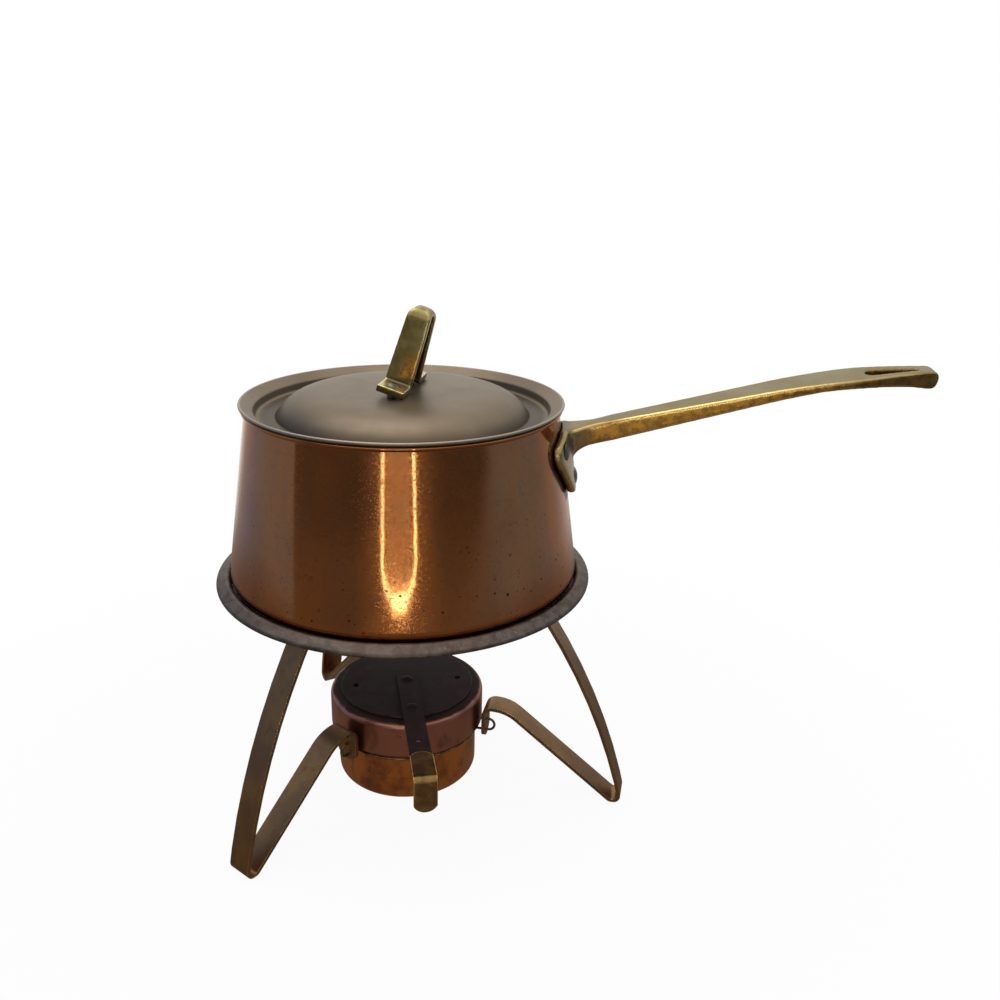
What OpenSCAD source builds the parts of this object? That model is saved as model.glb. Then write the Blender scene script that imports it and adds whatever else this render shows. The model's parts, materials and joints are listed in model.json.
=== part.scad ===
// Fondue pot on a tripod stand, with a spirit burner under it. Millimetres, +Z up.
// The origin is on the table under the axis of the pot, and the pot's handle points along +X.
// Sheet and strip pieces are drawn as the middle line of the sheet, with a bend radius at each corner.

/* [Pot] */
// Radius at which the outside of the wall would meet the base
pot_base_r = 79.1; // [74:0.1:86]
// Outside radius of the wall under the lip
pot_mouth_r = 67.8; // [62:0.1:72]
// Height of the wall from the base to the lip
pot_h = 78.9; // [65:0.1:95]
// Thickness of the copper
pot_t = 1.4; // [1:0.1:2.5]
// Radius of the bend between base and wall
pot_corner_r = 8; // [5:0.5:11]
// How far the lip flares out past the wall
pot_lip_w = 1.5; // [0.8:0.1:2]

/* [Lid] */
// Outside radius of the flange
lid_flange_r = 69.5; // [68.5:0.1:71]
// Width of the sloping flange, seen from above
lid_flange_w = 5.6; // [4:0.1:7]
// Slope of the flange and of the pot's lip under it
lip_angle = 29; // [20:1:38]
// Depth of the channel round the dome
lid_well_h = 3.8; // [2.5:0.1:6]
// Radius of the foot of the dome
lid_dome_r = 55; // [50:0.1:57]
// Height of the dome above the channel
lid_dome_h = 10.7; // [8:0.1:15]
// Thickness of the lid's sheet
lid_t = 1.2; // [0.8:0.1:2]

/* [Lid handle] */
// Height of the loop above the top of the dome
loop_h = 35.3; // [26:0.1:42]
// Width of the brass strap at the feet
loop_w = 11.8; // [10:0.1:15]
// Width of the strap at the top
loop_top_w = 10; // [9.4:0.1:12]
// Thickness of the strap
loop_t = 3; // [2:0.1:3.6]
// Distance from the axis to the foot of each side of the loop
loop_foot_x = 8; // [6:0.1:10]
// Half the span of the loop at its top
loop_top_x = 4.6; // [4:0.1:5.5]
// Length of each foot
loop_foot_w = 13; // [9:0.1:18]
// Angle by which the whole loop is bent over sideways, with one edge of its feet on the lid
loop_tilt = 17; // [0:1:18]
// Direction of the front foot
loop_turn = -95; // [-180:1:180]

/* [Pot handle] */
// Distance from the pot's axis to the tip
handle_reach = 223.9; // [190:0.5:260]
// Height of the top of the bar where it leaves the pot, above the base
handle_root_h = 72.4; // [66:0.1:75]
// Angle at which the bar rises
handle_angle = 14.1; // [8:0.1:20]
// Length of the arched end
handle_arch_w = 73; // [50:0.5:90]
// Radius of the arch
handle_arch_r = 395; // [300:5:600]
// Depth of the bar at the pot
handle_root_t = 10.6; // [8:0.1:12]
// Distance from the tip to where the bar is thinnest
handle_waist_l = 47; // [30:0.5:60]
// Depth of the bar at its thinnest
handle_waist_t = 3.5; // [2.4:0.1:5]
// Depth of the tip
handle_tip_t = 8; // [6:0.1:9]
// Width of the bar at the pot
handle_root_w = 8.6; // [7:0.1:12]
// Width of the bar at its widest
handle_wide_w = 19.4; // [15:0.1:24]
// Roll of the bar about its length
handle_roll = 5; // [-10:1:10]
// Radius under the bar, where it turns down to the lower lobe
handle_fillet_r = 9; // [6:0.5:12]
// Length of the hanging hole
hang_hole_l = 21; // [16:0.5:26]
// Width of the hanging hole
hang_hole_w = 7; // [5:0.1:9]

/* [Handle plate] */
// Thickness of the cast plate
plate_t = 4; // [3:0.1:5]
// Half the span of the two wings
wing_y = 23; // [20:0.5:26]
// Height of the wings above the pot's base
wing_h = 66.5; // [60:0.5:70]
// Height of the bottom of the lower lobe above the pot's base
lobe_h = 44; // [38:0.5:50]
// Half the width of the lower lobe
lobe_r = 6.5; // [5.5:0.1:8]
// Distance of each wing rivet from the middle
wing_rivet_y = 15.5; // [13:0.1:17]
// Radius of the plate's rivets
plate_rivet_r = 2; // [1.5:0.1:2.4]

/* [Stand] */
// Height of the seat that carries the pot
seat_z = 105.4; // [96:0.1:118]
// Radius of the hole in the seat
seat_hole_r = 44; // [41:0.5:48]
// Thickness of the ring's sheet
ring_t = 1.6; // [1.2:0.1:2.2]
// Height of the lip above the seat
ring_lip_h = 5.8; // [4:0.1:8]
// Radius of the ring's outer edge
ring_r = 84.4; // [83:0.1:90]
// Fall of the brim from the lip to its outer edge
brim_fall = 3; // [2:0.1:5]

/* [Legs] */
// Width of the brass strip
strip_w = 11.5; // [9:0.1:14]
// Thickness of the strip
strip_t = 1.7; // [1.2:0.1:2.2]
// Radius at which the outer side of a leg reaches the seat
leg_top_r = 59.5; // [57:0.1:63]
// Radius of the sharp corner that the foot's bend rounds off
leg_foot_r = 107.6; // [98:0.1:118]
// How much nearer the axis the front foot stands
front_foot_in = 3.8; // [0:0.1:8]
// How much nearer to the axis the rear foot stands
rear_foot_in = 6; // [0:0.1:8]
// How far the outer side bows out
leg_bow = 6.1; // [2:0.1:9]
// Middle radius of the bend at the foot
foot_bend_r = 3; // [2:0.1:4]
// Depth of the worn flat under each foot
foot_wear = 0.15; // [0.1:0.01:0.25]
// Highest point of the inner side, over the burner's tab
tab_top_z = 42.4; // [40:0.1:45]
// Height of the bottom of the tab beside the burner
tab_bottom_z = 25; // [20:0.1:25.4]
// Gap between the tab and the burner's cap
tab_gap = 1.9; // [1.2:0.1:3]
// Direction of the leg under the pot's handle
handle_leg_turn = -7.5; // [-20:0.5:20]
// Direction of the leg at the front
front_leg_turn = -124; // [-140:0.5:-110]
// Direction of the leg at the back
rear_leg_turn = 126; // [100:0.5:140]
// Radius of the rivets that hold the legs
leg_rivet_r = 1.7; // [1.4:0.1:1.8]

/* [Burner] */
// Outside radius of the fuel cup
cup_r = 33.2; // [31.5:0.1:34]
// Height of the cup's base above the table
cup_z = 3.4; // [2.5:0.1:6]
// Thickness of the cup and of the cap
burner_t = 0.8; // [0.6:0.1:1.2]
// Outside radius of the cap
cap_r = 36.5; // [36:0.1:38]
// Height of the top of the cap
cap_top_z = 46.9; // [44:0.1:50]
// Height of the lower edge of the cap's skirt
skirt_z = 29.9; // [28.5:0.1:31.5]
// Radius of the cap's shoulder
shoulder_r = 3; // [2.2:0.1:5]
// Number of places on the ring of vents, counting the one that the lever covers
vent_places = 4; // [3:1:8]
// Radius of the circle of vents
vent_circle_r = 24.5; // [22:0.1:26]
// Radius of each vent
vent_r = 1.5; // [1:0.1:2]
// Radius of the wire that carries the burner
wire_r = 0.6; // [0.4:0.05:0.8]
// Height of the upper wire of each tie
tie_top_z = 32.9; // [32:0.1:35]

/* [Damper] */
// Radius of the turning disc
disc_r = 31.4; // [29:0.1:32]
// Thickness of the disc
disc_t = 0.6; // [0.4:0.1:1]
// Direction of the lever at rest
lever_turn = -75; // [-90:1:-50]
// Swing of the lever to each side
lever_swing = 15; // [10:1:18]
// Width of the lever
lever_w = 9.4; // [7:0.1:11]
// Thickness of the lever
lever_t = 1.3; // [0.8:0.1:2]
// Reach of the lever from the pivot
lever_l = 74; // [68:0.5:76]
// Radius of the open hole in the lever
lever_hole_r = 1.6; // [1:0.1:2]
// Distance from the pivot to the open hole
lever_hole_x = 52; // [45:0.5:56]
// Distance from the pivot to the inner end of the thumb tab
thumb_x = 62; // [60:0.5:66]
// Distance from the pivot to the face of the thumb tab that is turned down
thumb_reach = 81; // [78:0.5:86]
// How far the thumb tab is turned down
thumb_h = 17; // [12:0.5:22]
// Thickness of the thumb tab
thumb_t = 1.2; // [0.8:0.1:1.6]
// Radius of the pivot
pivot_r = 1.5; // [1.2:0.1:2]

/* [Hidden] */

$fn = 96;
// Largest turn between two points of a drawn bend
arc_step = 10;
// Gap that keeps lifted pieces off what they rest on
rest_gap = 0.2;
// Gap between fixed pieces that lie on each other
lay_gap = 0.05;
// Radial clearance of rivets in their holes
rivet_gap = 0.05;
// Clearance beside pieces that lift past each other
pass_gap = 0.4;
// Overshoot of a cut past the faces that it goes through
cut = 1;
// Larger than the whole object, for trimming
far = 400;

// Pot
pot_z = seat_z + rest_gap;
pot_angle = atan((pot_base_r - pot_mouth_r) / pot_h);
lip_z = pot_z + pot_h;
pot_tangent = pot_corner_r / tan((90 - pot_angle) / 2);
pot_widest_r = pot_base_r - pot_tangent * sin(pot_angle);
// Outside radius of the wall at a height
function wall_r(z) = pot_base_r - (z - pot_z) * tan(pot_angle);

// Lid
// Top of the pot's lip above its underside, measured straight up
lip_rise = pot_t / cos(lip_angle);
flange_z = lip_z + lip_rise + rest_gap + (lid_flange_r - pot_mouth_r) * tan(lip_angle);
lid_rise = lid_t / cos(lip_angle);
flange_in_r = lid_flange_r - lid_flange_w;
flange_in_z = flange_z + lid_rise - lid_flange_w * tan(lip_angle);
well_z = flange_in_z - lid_well_h;
dome_z = well_z + lid_dome_h;
// The higher this power, the flatter the middle of the dome and the rounder its shoulder
dome_power = 8;
// Height of the dome's outside at a distance from the axis
function dome_at(x) = dome_z - lid_dome_h * pow(x / lid_dome_r, dome_power);

// Lid handle
loop_tip_x = loop_foot_x + loop_foot_w;
loop_rivet_x = loop_foot_x + loop_foot_w * 0.55;
loop_bend_r = 2.6;
// Distance from the lid's axis to the edge of the feet that rests on the dome
loop_edge_y = loop_w / 2 - 1.1;
lid_rivet_r = 1.8;
lid_head_r = 1.7 * lid_rivet_r;
// Height of the rivets' inner heads under the tilted feet, clear of the lid's inside
lid_head_z = -lid_t - lay_gap - (loop_w / 2 + lid_head_r) * sin(loop_tilt)
    - dome_z + dome_at(loop_rivet_x + lid_head_r);

// Pot handle
handle_root_x = wall_r(pot_z + handle_root_h);
handle_root_z = pot_z + handle_root_h;
handle_arch_x = handle_reach - handle_arch_w;
handle_arch_z = handle_root_z + (handle_arch_x - handle_root_x) * tan(handle_angle);
handle_waist_x = handle_reach - handle_waist_l;
handle_wide_x = handle_reach - 0.72 * handle_waist_l;
hang_hole_x = handle_reach - 9 - hang_hole_l / 2;
wing_z = pot_z + wing_h;
lobe_z = pot_z + lobe_h;
lobe_rivet_z = lobe_z + lobe_r;
wing_rivet_z = wing_z - 0.5;
plate_head_r = 1.9 * plate_rivet_r;

// Stand ring
ring_lip_r = pot_widest_r + pass_gap + ring_t / 2;
brim_edge_h = 0.8;
crest_bend_r = 0.65 * ring_t;

// Legs
leg_top_z = seat_z - ring_t - lay_gap - strip_t / 2;
tab_r = cap_r + tab_gap + strip_t / 2;
leg_bend_r = 5;
tab_bend_r = 4.2;
tab_sweep_r = 17;
tab_sweep_x = tab_r + 11;
leg_tab_l = leg_top_r - seat_hole_r - 1;
leg_rivet_x = [seat_hole_r + 0.26 * leg_tab_l, seat_hole_r + 0.72 * leg_tab_l];
leg_head_r = 1.7 * leg_rivet_r;
leg_turns = [front_leg_turn, handle_leg_turn, rear_leg_turn];

// Burner
neck_r = cap_r - burner_t - pass_gap;
hoop_r = cup_r + 0.3 + wire_r;
neck_z = skirt_z - 0.4;
// The cup's step rises at 45 degrees, and its outer face rests on the hoop
step_z = neck_z - (neck_r - cup_r);
step_face_z = step_z + hoop_r - cup_r + burner_t / 2 - burner_t * sin(45);
hoop_z = step_face_z - (wire_r + rest_gap) / sin(45);
// The cup's rim lies under the inside of the cap's shoulder
rim_out = shoulder_r - burner_t - pass_gap;
cup_rim_z = cap_top_z - shoulder_r + sqrt(pow(shoulder_r - burner_t - rest_gap, 2) - pow(rim_out, 2));
cup_corner_r = 4;
gauze_z = neck_z + burner_t + lay_gap;
gauze_t = 0.6;
gauze_pitch = 7;
gauze_hole_r = 1.8;
tie_hole_r = wire_r + 0.25;
tie_loop_x = tab_r + strip_t / 2 + 0.6;

// Damper
disc_z = cap_top_z + 0.1;
lever_z = disc_z + disc_t + lay_gap;
lever_top_z = lever_z + lever_t;
lever_tail = 9;
guide_x = vent_circle_r;
guide_r = 1.4;
guide_slot_r = guide_r + 0.35;
slot_end_r = guide_slot_r + 0.15;
washer_t = 0.6;
washer_z = cap_top_z - burner_t - 0.1 - washer_t;
// The vent under the lever is left out, because the guide's slot is there
vent_turns = [for (i = [1 : vent_places - 1]) i * 360 / vent_places];

// Length one along a vector
function unit(v) = v / norm(v);
// Angle brought between -180 and 180
function wrapped(a) = a - 360 * floor((a + 180) / 360);
// Points of the bend at corner b, between a and c
function bend(a, b, c, radius) = let (
    u = unit([a.x - b.x, a.y - b.y]),
    w = unit([c.x - b.x, c.y - b.y]),
    half = acos(max(-1, min(1, u * w))) / 2,
    corner = [b.x, b.y],
    start = corner + u * radius / tan(half),
    stop = corner + w * radius / tan(half),
    centre = corner + unit(u + w) * radius / sin(half),
    from = atan2(start.y - centre.y, start.x - centre.x),
    turn = wrapped(atan2(stop.y - centre.y, stop.x - centre.x) - from),
    steps = max(2, ceil(abs(turn) / arc_step))
) [for (i = [0 : steps]) centre + radius * [cos(from + turn * i / steps), sin(from + turn * i / steps)]];
// One corner of a path: [x, y] stays sharp and [x, y, radius] is bent
function corner_points(a, b, c) = len(b) < 3 ? [[b.x, b.y]] : bend(a, b, c, b[2]);
// An open path with its corners bent
function open_path(p) = [
    for (i = [0 : len(p) - 1])
        each i == 0 || i == len(p) - 1 ? [[p[i].x, p[i].y]] : corner_points(p[i - 1], p[i], p[i + 1])
];
// A closed outline with its corners bent
function closed_path(p) = let (n = len(p)) [
    for (i = [0 : n - 1]) each corner_points(p[(i + n - 1) % n], p[i], p[(i + 1) % n])
];
// Normal to the left of a direction
function left(v) = [-v.y, v.x];
// A path moved sideways by a distance
function beside(p, d) = let (n = len(p)) [
    for (i = [0 : n - 1]) let (
        before = unit(p[max(i, 1)] - p[max(i, 1) - 1]),
        after = unit(p[min(i, n - 2) + 1] - p[min(i, n - 2)]),
        middle = unit(left(before) + left(after))
    ) p[i] + middle * d / (middle * left(before))
];
// Outline of a sheet of thickness t along a path
function sheet(p, t) = let (a = beside(p, t / 2), b = beside(p, -t / 2)) concat(
    a, [for (i = [len(b) - 1 : -1 : 0]) b[i]]
);

// A sheet turned about the axis, where p is its bent middle line
module turned(p, t) {
    rotate_extrude() polygon([for (q = sheet(p, t)) [max(0, q.x), q.y]]);
}

// A low round rivet head, with its flat side at the origin
module rivet_head(r, h) {
    ball_r = (r * r + h * h) / (2 * h);
    intersection() {
        translate([0, 0, h - ball_r]) sphere(r = ball_r);
        cylinder(r = r, h = h);
    }
}

// What is cut away to round the end of a strip, which faces +Y and ends at the origin
module round_end(width, h) {
    round_r = 0.56 * width;
    translate([0, -round_r, 0]) difference() {
        translate([-width, 0, 0]) cube([2 * width, 2 * width, h]);
        translate([0, 0, -cut]) cylinder(r = round_r, h = h + 2 * cut);
    }
}

// Places a child at a leg's rivets
module at_leg_rivets() {
    for (turn = leg_turns, x = leg_rivet_x) rotate([0, 0, turn]) translate([x, 0, 0]) children();
}

module stand_ring() {
    edge_r = ring_r - ring_t / 2;
    crest_z = seat_z + ring_lip_h - ring_t / 2;
    brim_angle = atan(brim_fall / (edge_r - ring_lip_r));
    // The bend takes this much off the height of the corner
    corner_z = crest_z + crest_bend_r * (tan(45 + brim_angle / 2) - 1);
    edge_z = corner_z - brim_fall;
    color("dimgray") difference() {
        turned(open_path([
            [seat_hole_r, seat_z - ring_t / 2],
            [ring_lip_r, seat_z - ring_t / 2, 0.75 * ring_t],
            [ring_lip_r, corner_z, crest_bend_r],
            [edge_r, edge_z, 0.6 * ring_t],
            [edge_r, edge_z - brim_edge_h]
        ]), ring_t);
        at_leg_rivets() {
            translate([0, 0, seat_z - ring_t - cut]) cylinder(r = leg_rivet_r + rivet_gap, h = ring_t + 2 * cut);
            countersink(rivet_gap);
        }
    }
}

// The sunk head that lies flush with the seat, larger by a clearance for the hole
module countersink(extra) {
    translate([0, 0, seat_z - ring_t / 2])
        cylinder(r1 = leg_rivet_r + extra, r2 = leg_rivet_r + ring_t / 2 + extra, h = ring_t / 2);
}

// Middle line of a leg, for a given place of the foot's sharp corner
function leg_line(foot_r, foot_z) = let (
    top = [leg_top_r, leg_top_z],
    foot = [foot_r, foot_z],
    chord = foot - top,
    out = unit([-chord.y, chord.x])
) open_path(concat(
    [[seat_hole_r + 1, leg_top_z], [top.x, top.y, leg_bend_r]],
    [for (i = [1 : 7]) top + chord * i / 8 + out * leg_bow * 4 * i / 8 * (1 - i / 8)],
    [
        [foot.x, foot.y, foot_bend_r],
        [tab_sweep_x, tab_top_z - strip_t / 2, tab_sweep_r],
        [tab_r, tab_top_z - strip_t / 2, tab_bend_r],
        [tab_r, tab_bottom_z]
    ]
));
// Lowest point under the foot's bend
function foot_low(foot_r, foot_z) = min([for (p = leg_line(foot_r, foot_z)) p.y]) - strip_t / 2;
// Height of the foot's corner at which the worn flat lies on the table
function foot_corner(foot_r, steps) = steps == 0 ? 0 : let (z = foot_corner(foot_r, steps - 1))
    z - foot_low(foot_r, z) - foot_wear;

module leg(turn, foot_r) {
    line = leg_line(foot_r, foot_corner(foot_r, 5));
    color("#6b5334") rotate([0, 0, turn]) difference() {
        translate([0, strip_w / 2, 0]) rotate([90, 0, 0])
            linear_extrude(height = strip_w) polygon(sheet(line, strip_t));
        translate([-far / 2, -far / 2, -far]) cube([far, far, far]);
        for (x = leg_rivet_x) translate([x, 0, leg_top_z - strip_t / 2 - cut])
            cylinder(r = leg_rivet_r + rivet_gap, h = strip_t + 2 * cut);
        for (z = [hoop_z, tie_top_z]) translate([tab_r - strip_t / 2 - cut, 0, z]) rotate([0, 90, 0])
            cylinder(r = tie_hole_r, h = strip_t + 2 * cut);
        translate([tab_r - strip_t / 2 - cut, 0, tab_bottom_z]) rotate([90, 0, 90])
            mirror([0, 1, 0]) round_end(strip_w, strip_t + 2 * cut);
    }
}

module front_leg() { leg(front_leg_turn, leg_foot_r - front_foot_in); }
module handle_side_leg() { leg(handle_leg_turn, leg_foot_r); }
module rear_leg() { leg(rear_leg_turn, leg_foot_r - rear_foot_in); }

module leg_rivets() {
    under_z = leg_top_z - strip_t / 2 - lay_gap;
    color("#8a7a5c") at_leg_rivets() {
        translate([0, 0, under_z]) cylinder(r = leg_rivet_r, h = seat_z - under_z);
        countersink(0);
        translate([0, 0, under_z]) mirror([0, 0, 1]) rivet_head(leg_head_r, 1.4);
    }
}

module burner_hoop() {
    color("#3a3028") rotate_extrude() translate([hoop_r, hoop_z]) circle(r = wire_r);
}

// A hairpin of wire through the two holes of a leg's tab, from the cap to the hoop
module tie(turn) {
    bend_r = (tie_top_z - hoop_z) / 2;
    upper_x = cap_r + pass_gap;
    lower_x = hoop_r + wire_r + lay_gap;
    color("#4a3c2c") rotate([0, 0, turn]) {
        translate([upper_x, 0, tie_top_z]) rotate([0, 90, 0]) cylinder(r = wire_r, h = tie_loop_x - upper_x);
        translate([lower_x, 0, hoop_z]) rotate([0, 90, 0]) cylinder(r = wire_r, h = tie_loop_x - lower_x);
        translate([tie_loop_x, 0, hoop_z + bend_r]) rotate([90, 90, 0])
            rotate_extrude(angle = 180) translate([bend_r, 0]) circle(r = wire_r);
    }
}

module front_tie() { tie(front_leg_turn); }
module handle_side_tie() { tie(handle_leg_turn); }
module rear_tie() { tie(rear_leg_turn); }

// Middle line of the cup, which steps out to a neck over the hoop
cup_line = [
    [0, cup_z + burner_t / 2],
    [cup_r - burner_t / 2, cup_z + burner_t / 2, cup_corner_r],
    [cup_r - burner_t / 2, step_z],
    [neck_r - burner_t / 2, neck_z],
    [neck_r - burner_t / 2, cup_rim_z]
];

module burner_cup() {
    color("#9a5a30") turned(open_path(cup_line), burner_t);
}

module burner_packing() {
    inside_r = cup_r - burner_t - rest_gap;
    base_z = cup_z + burner_t + lay_gap;
    color("whitesmoke") rotate_extrude() polygon(closed_path([
        [0, base_z],
        [inside_r, base_z, cup_corner_r],
        [inside_r, step_z],
        [inside_r - 1, gauze_z - lay_gap],
        [0, gauze_z - lay_gap]
    ]));
}

module burner_gauze() {
    edge_r = neck_r - burner_t - rest_gap;
    rows = floor(edge_r / gauze_pitch);
    color("gray") translate([0, 0, gauze_z]) difference() {
        cylinder(r = edge_r, h = gauze_t);
        for (i = [-rows : rows], j = [-rows : rows]) {
            spot = [i * gauze_pitch, j * gauze_pitch, -cut];
            if (norm([spot.x, spot.y]) < edge_r - 2 * gauze_hole_r)
                translate(spot) cylinder(r = gauze_hole_r, h = gauze_t + 2 * cut, $fn = 24);
        }
    }
}

// Places a child at each vent
module at_vents() {
    for (turn = vent_turns) rotate([0, 0, lever_turn + turn]) translate([vent_circle_r, 0, 0]) children();
}

// Slot that the damper's guide runs in
module guide_slot() {
    z = cap_top_z - burner_t - cut;
    h = burner_t + 2 * cut;
    rotate([0, 0, lever_turn - lever_swing]) rotate_extrude(angle = 2 * lever_swing)
        translate([guide_x - guide_slot_r, z]) square([2 * guide_slot_r, h]);
    for (side = [-1, 1]) rotate([0, 0, lever_turn + side * lever_swing])
        translate([guide_x, 0, z]) cylinder(r = slot_end_r, h = h);
}

module burner_cap() {
    color("#5a3426") difference() {
        turned(open_path([
            [0, cap_top_z - burner_t / 2],
            [cap_r - burner_t / 2, cap_top_z - burner_t / 2, shoulder_r - burner_t / 2],
            [cap_r - burner_t / 2, skirt_z]
        ]), burner_t);
        translate([0, 0, cap_top_z - burner_t - cut]) {
            cylinder(r = pivot_r + rivet_gap, h = burner_t + 2 * cut);
            at_vents() cylinder(r = vent_r, h = burner_t + 2 * cut);
        }
        guide_slot();
    }
}

module pivot_washer() {
    color("silver") translate([0, 0, washer_z]) difference() {
        cylinder(r = 2.6 * pivot_r, h = washer_t);
        translate([0, 0, -cut]) cylinder(r = pivot_r + rivet_gap, h = washer_t + 2 * cut);
    }
}

module damper_disc() {
    color("#2b2420") difference() {
        translate([0, 0, disc_z]) cylinder(r = disc_r, h = disc_t);
        translate([0, 0, disc_z - cut]) {
            cylinder(r = pivot_r + rivet_gap, h = disc_t + 2 * cut);
            at_vents() cylinder(r = vent_r, h = disc_t + 2 * cut);
            rotate([0, 0, lever_turn]) translate([guide_x, 0, 0])
                cylinder(r = guide_r + rivet_gap, h = disc_t + 2 * cut);
        }
    }
}

module damper_lever() {
    bore_h = lever_t + 2 * cut;
    color("#2f2822") rotate([0, 0, lever_turn]) difference() {
        translate([0, 0, lever_z]) linear_extrude(height = lever_t) polygon(closed_path([
            [-lever_tail, -lever_w / 2, lever_w * 0.3],
            [lever_l, -lever_w / 2, lever_w * 0.45],
            [lever_l, lever_w / 2, lever_w * 0.45],
            [-lever_tail, lever_w / 2, lever_w * 0.3]
        ]));
        translate([0, 0, lever_z - cut]) cylinder(r = pivot_r + rivet_gap, h = bore_h);
        translate([guide_x, 0, lever_z - cut]) cylinder(r = guide_r + rivet_gap, h = bore_h);
        translate([lever_hole_x, 0, lever_z - cut]) cylinder(r = lever_hole_r, h = bore_h);
    }
}

module damper_pivot() {
    low_z = washer_z - lay_gap;
    top_z = lever_top_z + lay_gap;
    color("#6b5a40") {
        translate([0, 0, low_z]) cylinder(r = pivot_r, h = top_z - low_z);
        translate([0, 0, top_z]) rivet_head(2 * pivot_r, 1.1);
        translate([0, 0, low_z]) mirror([0, 0, 1]) rivet_head(1.8 * pivot_r, 0.9);
    }
}

module damper_guide() {
    low_z = cap_top_z - burner_t - 0.3;
    top_z = lever_top_z + lay_gap;
    color("#6b5a40") rotate([0, 0, lever_turn]) translate([guide_x, 0, 0]) {
        translate([0, 0, low_z]) cylinder(r = guide_r, h = top_z - low_z);
        translate([0, 0, top_z]) rivet_head(1.8 * guide_r, 0.8);
        translate([0, 0, low_z]) mirror([0, 0, 1]) rivet_head(2 * guide_r, 0.8);
    }
}

module thumb_tab() {
    middle_z = lever_top_z + lay_gap + thumb_t / 2;
    drop_x = thumb_reach - thumb_t / 2;
    low_z = middle_z + thumb_t / 2 - thumb_h;
    width = lever_w + 0.6;
    line = open_path([
        [thumb_x, middle_z],
        [drop_x, middle_z, 2.4],
        [drop_x, low_z]
    ]);
    color("#a08038") rotate([0, 0, lever_turn]) difference() {
        translate([0, width / 2, 0]) rotate([90, 0, 0])
            linear_extrude(height = width) polygon(sheet(line, thumb_t));
        translate([thumb_x, 0, middle_z - thumb_t]) rotate([0, 0, 90]) round_end(width, 2 * thumb_t);
        translate([drop_x - thumb_t, 0, low_z]) rotate([90, 0, 90])
            mirror([0, 1, 0]) round_end(width, 2 * thumb_t);
    }
}

module pot_body() {
    half = pot_t / 2;
    // The middle of the wall lies half a thickness inside its outer face
    shift = half / cos(pot_angle);
    lip_low = [pot_mouth_r - shift, lip_z + (half - shift * sin(lip_angle)) / cos(lip_angle)];
    lip_out = [pot_mouth_r + pot_lip_w - half * sin(lip_angle),
        lip_z + pot_lip_w * tan(lip_angle) + half * cos(lip_angle)];
    base_r = pot_base_r - shift - half * tan(pot_angle);
    color("#8a4a22") difference() {
        turned(open_path([
            [0, pot_z + half],
            [base_r, pot_z + half, pot_corner_r - half],
            [lip_low.x, lip_low.y, 0.75 * pot_t],
            lip_out
        ]), pot_t);
        at_plate_rivets() translate([0, 0, -pot_t - cut])
            cylinder(r = plate_rivet_r + rivet_gap, h = pot_t + 2 * cut);
    }
}

// Places a child on the wall at each rivet of the plate, with +Z out of the wall
module at_plate_rivets() {
    for (spot = [[-wing_rivet_y, wing_rivet_z], [wing_rivet_y, wing_rivet_z], [0, lobe_rivet_z]])
        rotate([0, 0, asin(spot[0] / wall_r(spot[1]))])
            translate([wall_r(spot[1]), 0, spot[1]])
                rotate([0, 90 - pot_angle, 0]) children();
}

// Solid cone that follows the pot's wall, larger by a distance
module wall_cone(extra) {
    grow = extra / cos(pot_angle);
    translate([0, 0, pot_z])
        cylinder(r1 = pot_base_r + grow, r2 = wall_r(lip_z) + grow, h = pot_h);
}

// Front view of the plate: two wings and a lower lobe
module plate_outline() {
    polygon(closed_path([
        [-0.4 * wing_y, handle_root_z + 1, 2],
        [-wing_y, wing_z + 2.5, 4],
        [-wing_y, wing_z - 5, 8],
        [-lobe_r, lobe_z, 1.25 * lobe_r],
        [lobe_r, lobe_z, 1.25 * lobe_r],
        [wing_y, wing_z - 5, 8],
        [wing_y, wing_z + 2.5, 4],
        [0.4 * wing_y, handle_root_z + 1, 2]
    ]));
}

// Depth of the bar below its top, at a distance from the axis
function bar_depth(x) = x < handle_waist_x
    ? handle_root_t + (handle_waist_t - handle_root_t) * (x - handle_root_x) / (handle_waist_x - handle_root_x)
    : handle_waist_t + (handle_tip_t - handle_waist_t) * pow((x - handle_waist_x) / handle_waist_l, 2);
// Top of the arched end
function arch_top(x) = let (
    centre_x = handle_arch_x + handle_arch_r * sin(handle_angle),
    centre_z = handle_arch_z - handle_arch_r * cos(handle_angle)
) centre_z + sqrt(pow(handle_arch_r, 2) - pow(x - centre_x, 2));

// Side view of the bar, from inside the plate to the tip
module bar_side() {
    steps = 12;
    arch_x = [for (i = [0 : steps]) handle_arch_x + handle_arch_w * i / steps];
    inside_x = handle_root_x - 2;
    below_x = handle_root_x + plate_t + 1;
    polygon(closed_path(concat(
        [[inside_x, handle_root_z - 2 * tan(handle_angle)]],
        [for (i = [0 : steps - 1]) [arch_x[i], arch_top(arch_x[i])]],
        [[handle_reach, arch_top(handle_reach), 0.4 * handle_tip_t]],
        [[handle_reach - 2.5, arch_top(handle_reach) - handle_tip_t, 0.36 * handle_tip_t]],
        [for (i = [steps - 2 : -1 : 0]) [arch_x[i], arch_top(arch_x[i]) - bar_depth(arch_x[i])]],
        [[below_x, handle_root_z + (below_x - handle_root_x) * tan(handle_angle) - bar_depth(below_x),
            handle_fillet_r]],
        [[below_x - 1, lobe_z + 8]],
        [[inside_x, lobe_z + 8]]
    )));
}

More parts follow.
